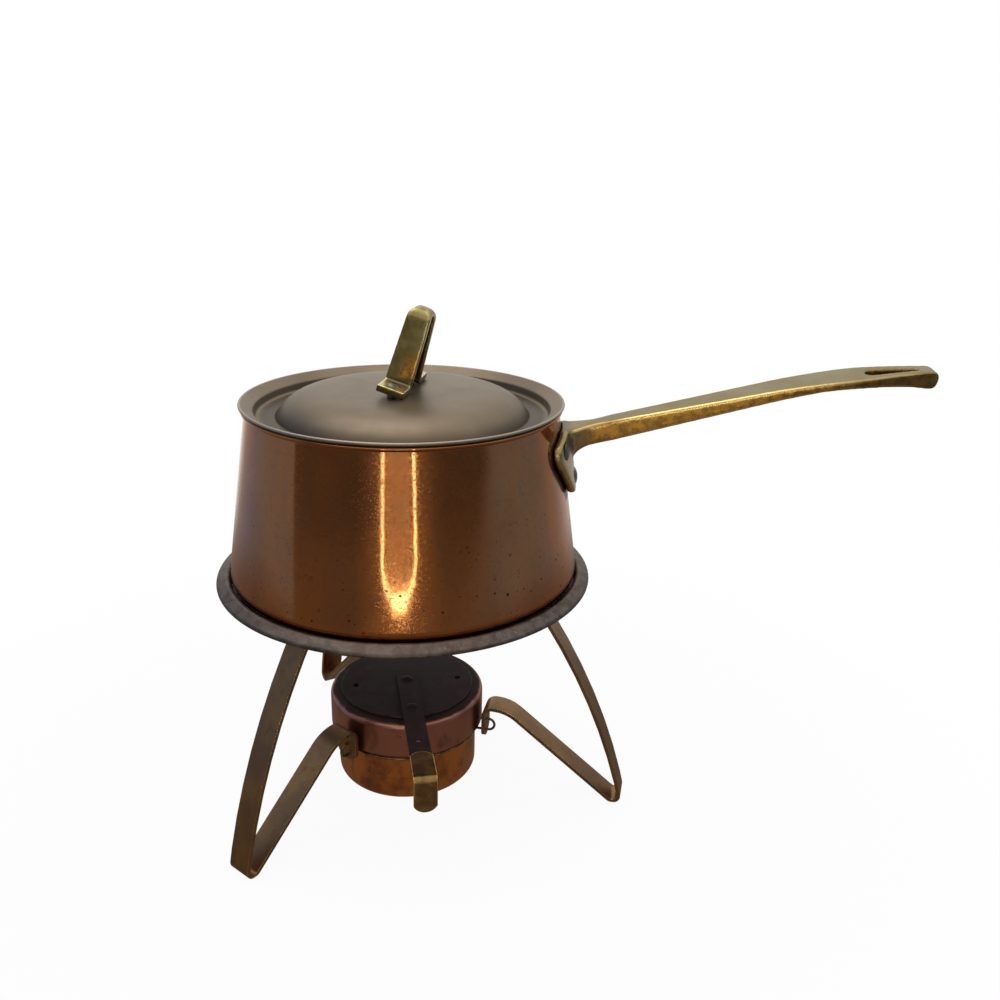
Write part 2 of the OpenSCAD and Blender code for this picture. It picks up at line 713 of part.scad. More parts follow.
// Half of the bar's width, at the widest and towards both ends
module bar_plan() {
    half = handle_root_w / 2;
    wide = handle_wide_w / 2;
    flare_x = handle_root_x + plate_t;
    polygon(closed_path([
        [handle_root_x - 2, -half - 5],
        [flare_x, -half - 3.5, 3],
        [flare_x + 9, -half, 12],
        [handle_wide_x, -wide, 60],
        [handle_reach, -0.45 * wide, 4],
        [handle_reach, 0.45 * wide, 4],
        [handle_wide_x, wide, 60],
        [flare_x + 9, half, 12],
        [flare_x, half + 3.5, 3],
        [handle_root_x - 2, half + 5]
    ]));
}

// Teardrop that the handle hangs by, round towards the pot
module hang_hole() {
    half = hang_hole_w / 2;
    rear = hang_hole_x - hang_hole_l / 2;
    polygon(closed_path([
        [rear, -half, half * 0.8],
        [rear + hang_hole_l, -0.9, 0.8],
        [rear + hang_hole_l, 0.9, 0.8],
        [rear, half, half * 0.8]
    ]));
}

module handle_bar() {
    translate([handle_root_x, 0, handle_root_z])
        rotate([0, -handle_angle, 0]) rotate([handle_roll, 0, 0]) rotate([0, handle_angle, 0])
        translate([-handle_root_x, 0, -handle_root_z]) difference() {
            intersection() {
                translate([0, far / 2, 0]) rotate([90, 0, 0]) linear_extrude(height = far) bar_side();
                linear_extrude(height = far) bar_plan();
            }
            linear_extrude(height = far) hang_hole();
        }
}

module pot_handle() {
    color("#8f7a3c") difference() {
        union() {
            intersection() {
                wall_cone(lay_gap + plate_t);
                rotate([90, 0, 90]) linear_extrude(height = far) plate_outline();
            }
            handle_bar();
        }
        wall_cone(lay_gap);
        at_plate_rivets() translate([0, 0, -cut]) cylinder(r = plate_rivet_r + rivet_gap, h = plate_t + 2 * cut);
    }
}

module handle_rivets() {
    head_z = lay_gap + plate_t + lay_gap;
    inner_z = -pot_t - 0.15;
    color("#57503c") at_plate_rivets() {
        translate([0, 0, inner_z]) cylinder(r = plate_rivet_r, h = head_z - inner_z);
        translate([0, 0, head_z]) rivet_head(plate_head_r, 1);
        translate([0, 0, inner_z]) mirror([0, 0, 1]) rivet_head(plate_head_r, 1.1);
    }
}

// Middle line of the lid, from the top of the dome to the edge of the flange
module lid_shell() {
    half = lid_t / 2;
    steps = 14;
    flange = [
        [flange_in_r, flange_in_z],
        [lid_flange_r, flange_in_z + lid_flange_w * tan(lip_angle)]
    ];
    dome = [
        for (i = [0 : steps - 1]) let (x = (lid_dome_r - 0.6) * sin(90 * i / (steps - 1))) [x, dome_at(x)]
    ];
    top = open_path(concat(dome, [
        [lid_dome_r, well_z, 0.8],
        [flange_in_r - 0.8, well_z, 1.6],
        [flange[0].x, flange[0].y, 1.4],
        flange[1]
    ]));
    color("#8c8074") difference() {
        turned(beside(top, -half), lid_t);
        at_lid_rivets() translate([0, 0, lid_head_z - cut])
            cylinder(r = lid_rivet_r + rivet_gap, h = 2 * cut - lid_head_z);
    }
}

// Turns and tilts the loop, whose feet lie at z = 0, so that one edge of the feet rests on the dome
module on_dome() {
    rotate([0, 0, loop_turn]) translate([0, loop_edge_y, dome_z + lay_gap])
        rotate([-loop_tilt, 0, 0]) translate([0, -loop_w / 2, 0]) children();
}

// Places a child under the middle of each foot of the loop
module at_lid_rivets() {
    for (x = [-loop_rivet_x, loop_rivet_x]) on_dome() translate([x, 0, 0]) children();
}

module lid_handle() {
    half = loop_t / 2;
    top_z = loop_h - half;
    line = open_path([
        [loop_tip_x, half],
        [loop_foot_x, half, loop_bend_r],
        [loop_top_x, top_z, 0.9 * loop_top_x],
        [-loop_top_x, top_z, 0.9 * loop_top_x],
        [-loop_foot_x, half, loop_bend_r],
        [-loop_tip_x, half]
    ]);
    color("#97853f") difference() {
        on_dome() intersection() {
            translate([0, far / 2, 0]) rotate([90, 0, 0])
                linear_extrude(height = far) polygon(sheet(line, loop_t));
            translate([-far / 2, 0, 0]) rotate([90, 0, 90])
                linear_extrude(height = far) loop_front();
        }
        at_lid_rivets() translate([0, 0, -cut]) cylinder(r = lid_rivet_r + rivet_gap, h = loop_t + 3 * cut);
    }
}

// Front view of the loop
module loop_front() {
    low = loop_w / 2;
    top = loop_top_w / 2;
    polygon(closed_path([
        [-low, -cut],
        [low, -cut],
        [low, loop_t],
        [top, loop_h, 0.46 * loop_top_w],
        [-top, loop_h, 0.46 * loop_top_w],
        [-low, loop_t]
    ]));
}

module lid_rivets() {
    head_z = loop_t + lay_gap;
    color("#6f6f6a") at_lid_rivets() {
        translate([0, 0, lid_head_z]) cylinder(r = lid_rivet_r, h = head_z - lid_head_z);
        translate([0, 0, head_z]) rivet_head(1.6 * lid_rivet_r, 1);
        translate([0, 0, lid_head_z]) mirror([0, 0, 1]) rivet_head(lid_head_r, 0.9);
    }
}

stand_ring();
front_leg();
handle_side_leg();
rear_leg();
leg_rivets();
burner_hoop();
front_tie();
handle_side_tie();
rear_tie();
burner_cup();
burner_packing();
burner_gauze();
burner_cap();
pivot_washer();
damper_disc();
damper_lever();
damper_pivot();
damper_guide();
thumb_tab();
pot_body();
pot_handle();
handle_rivets();
lid_shell();
lid_handle();
lid_rivets();
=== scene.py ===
"""Looks of a copper fondue pot with a lid and a brass handle, on its stand over a burner."""

import json
import math

import bpy
from mathutils import Matrix, Vector


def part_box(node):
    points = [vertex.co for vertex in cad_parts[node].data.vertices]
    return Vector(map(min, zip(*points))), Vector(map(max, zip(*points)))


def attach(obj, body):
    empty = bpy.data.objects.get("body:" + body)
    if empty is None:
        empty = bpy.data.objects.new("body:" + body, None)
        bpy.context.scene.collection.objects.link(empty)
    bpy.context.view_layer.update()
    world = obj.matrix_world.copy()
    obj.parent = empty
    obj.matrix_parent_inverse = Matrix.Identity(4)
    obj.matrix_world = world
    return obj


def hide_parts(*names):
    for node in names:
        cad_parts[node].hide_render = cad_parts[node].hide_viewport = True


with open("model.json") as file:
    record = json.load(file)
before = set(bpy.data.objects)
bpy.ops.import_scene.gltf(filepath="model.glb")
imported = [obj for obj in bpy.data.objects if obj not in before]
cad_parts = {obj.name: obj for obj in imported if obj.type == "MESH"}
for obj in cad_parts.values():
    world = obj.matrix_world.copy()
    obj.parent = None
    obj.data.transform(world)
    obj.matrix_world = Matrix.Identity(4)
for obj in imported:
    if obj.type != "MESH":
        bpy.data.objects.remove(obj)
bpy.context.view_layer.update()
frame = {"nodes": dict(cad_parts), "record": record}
BODY_OF = {
    node: body for body, nodes in frame["record"]["behaviour"]["bodies"].items() for node in nodes
}

# Sizes of the pieces are in millimetres, and the scene is in metres
MM = 0.001

# Pot, from the seat up
POT_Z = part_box("pot_body")[0].z / MM
POT_BASE_R = 79.1
POT_MOUTH_R = 67.8
POT_H = 78.9
POT_WALL = 1.4
POT_CORNER_R = 8
POT_EDGE_R = 0.6
LIP_W = 1.5
LIP_BEND_R = 0.75 * POT_WALL
LIP_ANGLE = math.radians(29)

# Lid, measured to its upper face
LID_WALL = 1.2
LID_EDGE_R = 0.45
LID_FLANGE_R = 69.5
LID_FLANGE_W = 5.6
LID_FLANGE_BEND_R = 1.4
LID_WELL_H = 3.8
LID_WELL_SLANT = 0.8
LID_WELL_BEND_R = 1.6
LID_DOME_R = 55
LID_DOME_H = 10.7
LID_DOME_POWER = 8
LID_DOME_FOOT_W = 0.6
LID_DOME_FOOT_R = 0.8
LID_DOME_STEPS = 21
REST_GAP = 0.2

# Ring of the stand, with a seat, an upright lip and a falling brim
SEAT_Z = 105.4
SEAT_HOLE_R = 44
RING_R = 84.4
RING_WALL = 1.6
RING_EDGE_R = 0.3
RING_SEAT_BEND_R = 0.75 * RING_WALL
RING_CREST_R = 0.65 * RING_WALL
RING_LIP_R = 78.82
RING_LIP_H = 5.8
BRIM_FALL = 3
BRIM_BEND_R = 0.6 * RING_WALL
BRIM_EDGE_H = 0.8

# Burner
BURNER_WALL = 0.8
CUP_Z = 3.4
CUP_R = 33.2
CUP_CORNER_R = 4
CUP_NECK_Z = 29.5
CUP_NECK_R = 35.3
CUP_NECK_BEND_R = 0.8
CUP_RIM_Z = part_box("burner_cup")[1].z / MM

# Wool in the burner, with the sizes and depths of its lumps
PACKING_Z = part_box("burner_packing")[0].z / MM
PACKING_TOP_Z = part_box("burner_packing")[1].z / MM
PACKING_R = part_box("burner_packing")[1].x / MM
PACKING_GAP = 0.3
PACKING_CORNER_R = 4
PACKING_SIDE_FALL = 2.6
PACKING_SIDE_BEND_R = 2
PACKING_CROWN_W = 6
PACKING_CROWN_FALL = 0.6
PACKING_CROWN_BEND_R = 8
PACKING_TOP_GAP = 0.1
WOOL_LUMPS = ((7, 0.9), (2, 0.5))

# Castings: the grain and the rounds of their smoothing, and more of it at the handle's plate
HANDLE_GRAIN = 0.36
HANDLE_ROUNDS = 40
LOOP_GRAIN = 0.35
LOOP_ROUNDS = 12
PLATE_REACH = 90
PLATE_FADE = 8
PLATE_ROUNDS = 130
WEAR_BLURS = 6

# Meshes
TURN_STEPS = 192
BEND_STEP = math.radians(9)
EDGE_STEPS = 8
EDGE_SEGMENTS = 3
SHARP_ANGLE = math.radians(35)
FLAT_ANGLE = math.radians(0.5)
TURNED_MERGE = 1e-6
COPIED_MERGE = 2e-6

# Faces: how far they look up or to the axis to count as a floor, an underside or an inner wall
FLOOR_UP = 0.9
UNDERSIDE_UP = -0.1
INNER_OUT = -1e-4

# Where a finish begins, or ends, along a piece, in metres: from and to where it changes
PITS_X = (-0.05, 0.02)
PITS_END_Z = (0.118, 0.165)
# Where the painted shade on the pot, round the handle's plate, lies
PLATE_SHADE_X = (0, 0.01)
PLATE_SHADE_Y = (-0.0005, 0.0025)
PLATE_SHADE_Z = (0.146, 0.149)
PLATE_SHADE_END_Z = (0.179, 0.183)
GROOVE_R = (0.05, 0.0555)
GROOVE_END_R = (0.0595, 0.063)
LID_RIM_HIGHLIGHT_R = (0.0688, 0.0691)
ROOT_SHADE_END_R = (0.0675, 0.0745)
PLATE_END_R = (0.08, 0.09)
RUBBED_R = (0.09, 0.1)
BROWN_R = (0.14, 0.2)
SLOT_X = (0.17, 0.176)
SLOT_END_Y = (0.0045, 0.006)
LOOP_FOOT_END_Z = (0.1985, 0.1995)
LOOP_LEAN = 0.3
# Where the painted reflection and the painted shade lie on the loop
LOOP_REFLECTION_X = (-0.0025, 0.0005)
LOOP_REFLECTION_Z = (0.197, 0.199)
LOOP_REFLECTION_END_Z = (0.206, 0.215)
LOOP_SHADE_Y = (0.0005, 0.002)
LOOP_SHADE_END_Z = (0.219, 0.223)
CAP_PINK_Z = (0.027, 0.0315)
CAP_SOOT_Z = (0.0469, 0.0477)

# Outline of the handle's plate, which the painted shade on the pot follows, in metres
PLATE_FOOT_Z = 0.147
PLATE_FOOT_HALF_W = 0.0085
PLATE_FLARE = 0.9
PLATE_FLARE_H = 0.0175
PLATE_TOP_HALF_W = 0.009
PLATE_TOP_SLOPE = 0.32

# Patterns: how much of a speck's radius its soft edge takes, and the waves of the gauze
SPECK_EDGE = 0.25
GAUZE_WAVES = 400

# Camera at the photograph's viewing angle
CAMERA_AT = (0.0710, -0.4027, 0.2894)
CAMERA_YAW = math.radians(3.975)
CAMERA_PITCH = math.radians(19.907)
CAMERA_ROLL = math.radians(1.368)
CAMERA_LENS = 34.52
CAMERA_SENSOR = 36

# Floor, room and soft light, in metres
FLOOR_W = 8
FLOOR_SHADE = 0.06
FLOOR_SHADE_END_R = (0.16, 0.4)
ROOM_R = 3
ROOM_Z = 0.0005
SOFT_WHITE = (0.96, 0.97, 1)
SOFT_LIGHT = 0.75

# Strip light in front, in millimetres
BAND_X = 66
BAND_Y = -600
BAND_HALF = 104
BAND_W = 16
BAND_DROP = 36
BAND_BEND_Z = 70
BAND_BEND_POWER = 1.3
BAND_TOP_Z = 330
BAND_STEPS = 16
BAND_LIGHT = 8
BAND_COLOUR = (0.92, 1, 0.88)


# Node trees
class Wire:
    """One value in a node tree; arithmetic on it adds Math nodes."""

    def __init__(self, nodes, socket):
        self.nodes = nodes
        self.socket = socket

    def __add__(self, other):
        return self.nodes.maths("ADD", self, other)

    def __sub__(self, other):
        return self.nodes.maths("SUBTRACT", self, other)

    def __rsub__(self, other):
        return self.nodes.maths("SUBTRACT", other, self)

    def __mul__(self, other):
        return self.nodes.maths("MULTIPLY", self, other)

    def __pow__(self, other):
        return self.nodes.maths("POWER", self, other)

    def __abs__(self):
        return self.nodes.maths("ABSOLUTE", self)

    __radd__ = __add__
    __rmul__ = __mul__


class Nodes:
    """A node tree, with ways to add to it."""

    def __init__(self, tree):
        self.tree = tree

    def add(self, kind, settings=None, inputs=None, output=0):
        """One node of any type: its settings first, then its sockets' values or links."""
        node = self.tree.nodes.new(kind)
        for name, value in (settings or {}).items():
            setattr(node, name, value)
        for name, value in (inputs or {}).items():
            self.feed(node.inputs[name], value)
        return Wire(self, node.outputs[output])

    def feed(self, socket, value):
        """Links a wire to a socket, or sets the socket to a plain value."""
        if isinstance(value, Wire):
            self.tree.links.new(value.socket, socket)
        elif isinstance(value, tuple) and len(value) == 3 and socket.type == "RGBA":
            socket.default_value = (*value, 1)
        else:
            socket.default_value = value

    def maths(self, operation, *values):
        """A Math node on one or more values."""
        return self.add("ShaderNodeMath", {"operation": operation}, dict(enumerate(values)))

    def most(self, first, *others):
        """The largest of several values."""
        for other in others:
            first = self.maths("MAXIMUM", first, other)
        return first

    def seen_directly(self):
        """1 for rays from the camera, and for those that a mirror or glass passes on."""
        rays = ("Is Camera Ray", "Is Glossy Ray", "Is Transmission Ray")
        return self.most(*(self.add("ShaderNodeLightPath", output=ray) for ray in rays))


class Finish(Nodes):
    """A procedural material on Object coordinates, built round one Principled shader."""

    def __init__(self, name, **constants):
        self.material = bpy.data.materials.new(name)
        self.material.use_nodes = True
        super().__init__(self.material.node_tree)
        self.shader = self.tree.nodes["Principled BSDF"]
        self.set(**constants)
        self.place = self.add("ShaderNodeTexCoord", output="Object")
        self.x, self.y, self.z = self.parts(self.place)

    def parts(self, vector):
        """The three parts of a vector."""
        return [self.add("ShaderNodeSeparateXYZ", inputs={0: vector}, output=i) for i in range(3)]

    def stretched(self, x=1, y=1, z=1):
        """Object coordinates scaled along each axis, for patterns that run one way."""
        return self.add("ShaderNodeMapping", inputs={"Vector": self.place, "Scale": (x, y, z)})

    def radius(self):
        """Distance from the pot's axis."""
        return (self.x * self.x + self.y * self.y) ** 0.5

    def mark(self, name):
        """A value that the piece's mesh carries at each of its points."""
        return self.add("ShaderNodeAttribute", {"attribute_name": name}, output="Fac")

    def noise(self, size, detail=3, rough=0.55, place=None, distortion=0):
        """Clouds whose largest features are about size millimetres."""
        return self.add(
            "ShaderNodeTexNoise",
            inputs={
                "Vector": place or self.place,
                "Scale": 1 / (size * MM),
                "Detail": detail,
                "Roughness": rough,
                "Distortion": distortion,
            },
        )

    def step(self, value, low, high):
        """Smooth rise from 0 at low to 1 at high."""
        return self.add(
            "ShaderNodeMapRange",
            {"interpolation_type": "SMOOTHSTEP"},
            {"Value": value, "From Min": low, "From Max": high},
        )

    def specks(self, cell, share, size):
        """Round specks in some of the cells of a grid, of up to size millimetres."""
        settings = {"feature": "F1"}
        inputs = {"Vector": self.place, "Scale": 1 / (cell * MM)}
        away = self.add("ShaderNodeTexVoronoi", settings, inputs, "Distance")
        pick = self.add("ShaderNodeTexVoronoi", settings, inputs, "Color")
        chance = self.add("ShaderNodeSeparateColor", inputs={0: pick})
        reach = (chance - (1 - share)) * (size / (2 * cell) / share)
        return self.step(reach - away, 0, SPECK_EDGE * size / (2 * cell))

    def blend(self, factor, under, over):
        """Colour that goes from under to over."""
        return self.add("ShaderNodeMix", {"data_type": "RGBA"}, {0: factor, 6: under, 7: over}, 2)

    def bump(self, height, depth, under=None):
        """Relief of depth millimetres from a height between 0 and 1."""
        inputs = {"Height": height, "Distance": depth * MM, "Strength": 1}
        if under:
            inputs["Normal"] = under
        return self.add("ShaderNodeBump", inputs=inputs)

    def glow(self, colour, strength=1):
        """A shader that gives light of its own."""
        return self.add("ShaderNodeEmission", inputs={"Color": colour, "Strength": strength})

    def set(self, **sockets):
        """Feeds the Principled shader's sockets and gives the material."""
        for name, value in sockets.items():
            socket = name.replace("_", " ").title().replace("Ior", "IOR")
            self.feed(self.shader.inputs[socket], value)
        return self.material

    def surface(self, shader):
        """Shows another shader than the Principled one and gives the material."""
        self.feed(self.tree.nodes["Material Output"].inputs["Surface"], shader)
        return self.material


# Finishes
def plate_shade(f, grime):
    """Painted shade on the pot: where it darkens, under and round the handle's plate."""
    half = PLATE_FOOT_HALF_W + PLATE_FLARE * f.maths("MINIMUM", f.z - PLATE_FOOT_Z, PLATE_FLARE_H)
    across = f.step(half + 0.002 * grime - abs(f.y), *PLATE_SHADE_Y) * f.step(f.x, *PLATE_SHADE_X)
    height = f.z + PLATE_TOP_SLOPE * f.most(abs(f.y) - PLATE_TOP_HALF_W, 0)
    return across * f.step(f.z, *PLATE_SHADE_Z) * (1 - f.step(height, *PLATE_SHADE_END_Z))


def pot_copper():
    """Aged copper: brown clouds, vertical wipe marks and dark pits, most of them by the handle."""
    f = Finish("pot_copper", metallic=1)
    bright, dull, wiped = (0.46, 0.168, 0.055), (0.37, 0.138, 0.05), (0.28, 0.15, 0.085)
    grimy, black = (0.2, 0.1, 0.05), (0.035, 0.022, 0.016)
    clouds = f.noise(38, 4)
    wipes = f.noise(9, 4, place=f.stretched(z=0.1))
    grime = f.noise(2.2, 5, 0.7)
    haze = f.noise(0.8, 4, 0.8)
    low = 1 - f.step(f.z, *PITS_END_Z)
    pits = f.specks(3, 0.3, 1.8) * f.most(0.15, low * f.step(f.x, *PITS_X))
    small = f.specks(2.2, 0.3, 1.2) * (0.3 + 0.7 * low)
    grains = f.specks(1.1, 0.3, 0.4) * 0.5
    dark = f.most(pits, small, grains)
    # Painted shade: the pot turns near black under and round the handle's plate
    junction_shade = plate_shade(f, grime)
    colour = f.blend(f.step(clouds, 0.38, 0.66), bright, dull)
    colour = f.blend(f.step(wipes, 0.45, 0.75) * 0.35, colour, wiped)
    colour = f.blend(f.step(grime, 0.5, 0.75) * 0.45, colour, grimy)
    colour = f.blend(f.most(dark * 0.9, junction_shade * 0.8), colour, black)
    rough = 0.055 + 0.03 * f.step(clouds, 0.35, 0.75) + 0.2 * f.step(haze, 0.48, 0.64)
    waves = f.bump(f.noise(30, 2), 0.06, f.bump(f.noise(9, 2), 0.025))
    relief = f.bump(f.noise(1.1, 3, 0.6) - dark, 0.002, waves)
    return f.set(base_color=colour, roughness=rough + 0.3 * dark + 0.25 * junction_shade, normal=relief)


def tinned():
    """Wiped tin inside the pot and under the lid."""
    f = Finish("tinned", metallic=1)
    clouds = f.noise(22, 4)
    wipes = f.noise(3, 3, place=f.stretched(z=4))
    colour = f.blend(f.step(clouds, 0.3, 0.7), (0.46, 0.44, 0.4), (0.32, 0.29, 0.25))
    rough = 0.34 + 0.14 * clouds + 0.1 * wipes
    return f.set(base_color=colour, roughness=rough, normal=f.bump(wipes, 0.02))


def lid_metal():
    """Satin grey-brown metal with turning marks, dull in the groove, and a painted highlight along
    the rim.
    """
    f = Finish("lid_metal", metallic=1)
    grey, brown, warm = (0.2, 0.158, 0.112), (0.165, 0.128, 0.09), (0.2, 0.14, 0.108)
    dull, black, pale = (0.055, 0.043, 0.032), (0.05, 0.042, 0.034), (0.5, 0.43, 0.36)
    radius = f.radius()
    rings = f.noise(0.9, 3, place=f.add("ShaderNodeCombineXYZ", inputs={0: radius, 2: f.z}))
    clouds = f.noise(30, 4)
    blotches = f.noise(8, 4, 0.65)
    groove = f.step(radius, *GROOVE_R) * (1 - f.step(radius, *GROOVE_END_R))
    dots = f.specks(6, 0.07, 1.3)
    colour = f.blend(f.step(clouds, 0.35, 0.7), grey, brown)
    colour = f.blend(f.step(blotches, 0.48, 0.68) * 0.5, colour, warm)
    colour = f.blend(groove * 0.78, colour, dull)
    colour = f.blend(dots * 0.85, colour, black)
    # Painted highlight: a pale band along the rim's outer edge
    colour = f.blend(f.step(radius, *LID_RIM_HIGHLIGHT_R) * 0.5, colour, pale)
    rough = 0.37 + 0.1 * clouds + 0.06 * rings + 0.2 * dots
    relief = f.bump(rings, 0.01, f.bump(f.noise(24, 2), 0.12))
    return f.set(base_color=colour, roughness=rough, normal=relief)


def worn_casting(f, colour, mottle, rubbed):
    """Finishes cast brass: dirt in the hollows and pits, bright gold where its edges are rubbed."""
    gold, dirt = (0.86, 0.62, 0.24), (0.06, 0.045, 0.026)
    wear = f.mark("wear")
    pits = f.specks(3.2, 0.22, 0.9)
    specks = f.specks(1.3, 0.16, 0.45) * 0.7
    hollow = 1 - f.step(wear + 0.1 * mottle, 0.36, 0.5)
    dark = f.most(pits, specks, hollow * 0.7)
    edge = f.step(wear + 0.2 * (mottle - 0.5), 0.6, 0.76) * rubbed
    colour = f.blend(edge * 0.85, colour, gold)
    colour = f.blend(dark * (1 - 0.6 * edge), colour, dirt)
    rough = 0.24 + 0.16 * mottle + 0.25 * dark - 0.06 * edge
    relief = f.bump(f.noise(6, 3), 0.1, f.bump(f.noise(0.7, 2) - dark, 0.025))
    return f.set(base_color=colour, roughness=rough, normal=relief)


def handle_brass():
    """The long handle: olive on top, with a painted reflection of the copper in golden orange and a
    painted brown shade at the sides, and painted black shade against the pot.
    """
    f = Finish("handle_brass", metallic=1)
    clouds = f.noise(14, 4)
    mottle = f.noise(3.2, 4, 0.65)
    spots = f.step(mottle, 0.36, 0.62)
    olive = f.blend(f.step(clouds, 0.35, 0.65), (0.225, 0.182, 0.08), (0.198, 0.146, 0.051))
    # The golden orange of the sides is a painted reflection of the pot's copper, and their brown a
    # painted shade
    golden = f.blend(spots, (0.36, 0.196, 0.056), (0.66, 0.35, 0.075))
    brown = f.blend(spots, (0.115, 0.064, 0.024), (0.185, 0.098, 0.029))
    pale = f.blend(spots, (0.3, 0.215, 0.11), (0.46, 0.33, 0.15))
    radius = f.radius()
    outer = f.step(radius, *BROWN_R)
    plate = 1 - f.step(radius + 0.006 * mottle, *PLATE_END_R)
    # Painted shade, near black, on the handle where its plate meets the pot
    junction_shade = 1 - f.step(radius - 0.0015 * mottle, *ROOT_SHADE_END_R)
    by_slot = f.step(f.x, *SLOT_X) * (1 - f.step(abs(f.y), *SLOT_END_Y))
    sides = f.blend(plate, f.blend(outer * 0.8, golden, brown), pale)
    # Top and sides coloured apart by which way they face: the sides carry the painted reflection
    # and shade
    colour = f.blend(f.step(f.mark("upward"), 0.3, 0.62), sides, olive)
    colour = f.blend(junction_shade * 0.85, colour, (0.04, 0.038, 0.03))
    rubbed = (0.25 + 0.75 * f.step(radius, *RUBBED_R)) * (1 - 0.75 * outer) * (1 - by_slot)
    return worn_casting(f, colour, mottle, rubbed)


def loop_brass():
    """The lid's loop: olive, with a painted orange reflection of the copper low on its outer faces,
    painted brown shade inside and painted light and shade on its foot.
    """
    f = Finish("loop_brass", metallic=1)
    clouds = f.noise(7, 4)
    mottle = f.noise(2.6, 4, 0.65)
    olive = f.blend(f.step(clouds, 0.35, 0.65), (0.265, 0.225, 0.096), (0.2, 0.152, 0.056))
    orange = f.blend(f.step(mottle, 0.38, 0.62), (0.3, 0.16, 0.05), (0.66, 0.3, 0.06))
    # Painted reflection of the pot's copper: an orange patch low on the loop's outer faces
    copper_reflection = f.step(f.z, *LOOP_REFLECTION_Z) * (1 - f.step(f.z + 0.006 * mottle, *LOOP_REFLECTION_END_Z))
    across = f.x - LOOP_LEAN * (f.z - LOOP_REFLECTION_Z[0]) + 0.003 * (clouds - 0.5)
    # Painted shade: dark brown on the far leg's inner face and edges
    inside = f.step(f.y, *LOOP_SHADE_Y) * (1 - f.step(f.z, *LOOP_SHADE_END_Z))
    foot = 1 - f.step(f.z, *LOOP_FOOT_END_Z)
    # Painted light and shade on the foot: pale where it faces up, dark on its sides
    flat = f.step(f.mark("upward"), 0.5, 0.7)
    foot_lit_and_shaded = f.blend(flat, (0.12, 0.1, 0.042), (0.62, 0.56, 0.33))
    colour = f.blend(copper_reflection * f.step(across, *LOOP_REFLECTION_X), olive, orange)
    colour = f.blend(inside * 0.9, colour, (0.085, 0.056, 0.036))
    colour = f.blend(foot * 0.85, colour, foot_lit_and_shaded)
    return worn_casting(f, colour, mottle, 0.3 - 0.25 * foot * (1 - flat))


def rubbed_brass():
    """Edges of the brass, worn bright."""
    f = Finish("rubbed_brass", metallic=1)
    wear = f.step(f.noise(6, 3), 0.3, 0.52)
    colour = f.blend(wear, (0.3, 0.2, 0.08), (0.78, 0.52, 0.18))
    return f.set(base_color=colour, roughness=0.34 - 0.1 * wear, normal=f.bump(f.noise(1, 2), 0.01))


def strip_brass():
    """Brass strip of the legs under an even brown tarnish, with golden and dark patches."""
    f = Finish("strip_brass", metallic=1)
    clouds = f.noise(16, 4)
    streaks = f.noise(4, 3, place=f.stretched(z=0.2))
    spots = f.specks(5, 0.14, 1.6)
    colour = f.blend(f.step(clouds, 0.4, 0.66), (0.22, 0.128, 0.069), (0.29, 0.168, 0.073))
    colour = f.blend(f.step(streaks, 0.55, 0.75) * 0.5, colour, (0.13, 0.08, 0.046))
    colour = f.blend(spots * 0.8, colour, (0.05, 0.035, 0.025))
    rough = 0.3 + 0.12 * clouds + 0.1 * streaks + 0.2 * spots
    return f.set(base_color=colour, roughness=rough, normal=f.bump(f.noise(2, 3), 0.03))


def tab_brass():
    """Thumb tab: brown brass, darkened by heat."""
    f = Finish("tab_brass", metallic=1)
    clouds = f.noise(6, 4)
    spots = f.specks(2.6, 0.2, 1)
    colour = f.blend(f.step(clouds, 0.38, 0.65), (0.2, 0.12, 0.055), (0.34, 0.21, 0.08))
    colour = f.blend(spots * 0.7, colour, (0.05, 0.033, 0.024))
    rough = 0.3 + 0.16 * clouds
    return f.set(base_color=colour, roughness=rough, normal=f.bump(f.noise(2, 3), 0.04))


def ring_metal():
    """Mottled dark metal of the ring, stained by heat."""
    f = Finish("ring_metal", metallic=1)
    clouds = f.noise(5, 5, 0.6)
    broad = f.noise(30, 3)
    pale = f.step(f.noise(1.6, 4, 0.6), 0.58, 0.72)
    colour = f.blend(f.step(clouds, 0.36, 0.62), (0.085, 0.067, 0.058), (0.155, 0.125, 0.11))
    colour = f.blend(f.step(broad, 0.45, 0.7) * 0.5, colour, (0.13, 0.088, 0.072))
    colour = f.blend(pale * 0.35, colour, (0.28, 0.25, 0.23))
    rough = 0.42 + 0.18 * clouds
    return f.set(base_color=colour, roughness=rough, normal=f.bump(clouds, 0.035))


def burner_copper():
    """Burner copper: pink and orange stains, sooted towards the cap's top."""
    f = Finish("burner_copper", metallic=1, specular_ior_level=0.08)
    pink, orange, brown = (0.4, 0.175, 0.13), (0.6, 0.22, 0.062), (0.33, 0.125, 0.055)
    clouds = f.noise(15, 4, 0.6)
    stains = f.noise(7, 4, 0.6, place=f.stretched(z=0.5))
    soot = f.step(f.z + 0.002 * clouds, *CAP_SOOT_Z)
    dots = f.specks(3, 0.12, 0.9)
    lower = f.blend(f.step(clouds, 0.4, 0.6), brown, orange)
    colour = f.blend(f.step(f.z, *CAP_PINK_Z), lower, pink)
    colour = f.blend(f.step(stains, 0.5, 0.72) * 0.6, colour, (0.12, 0.062, 0.045))
    colour = f.blend(f.most(dots * 0.8, soot), colour, (0.04, 0.02, 0.019))
    rough = 0.26 + 0.16 * clouds + 0.25 * soot + 0.2 * dots
    relief = f.bump(stains, 0.05)
    return f.set(base_color=colour, metallic=1 - 0.95 * soot, roughness=rough, normal=relief)


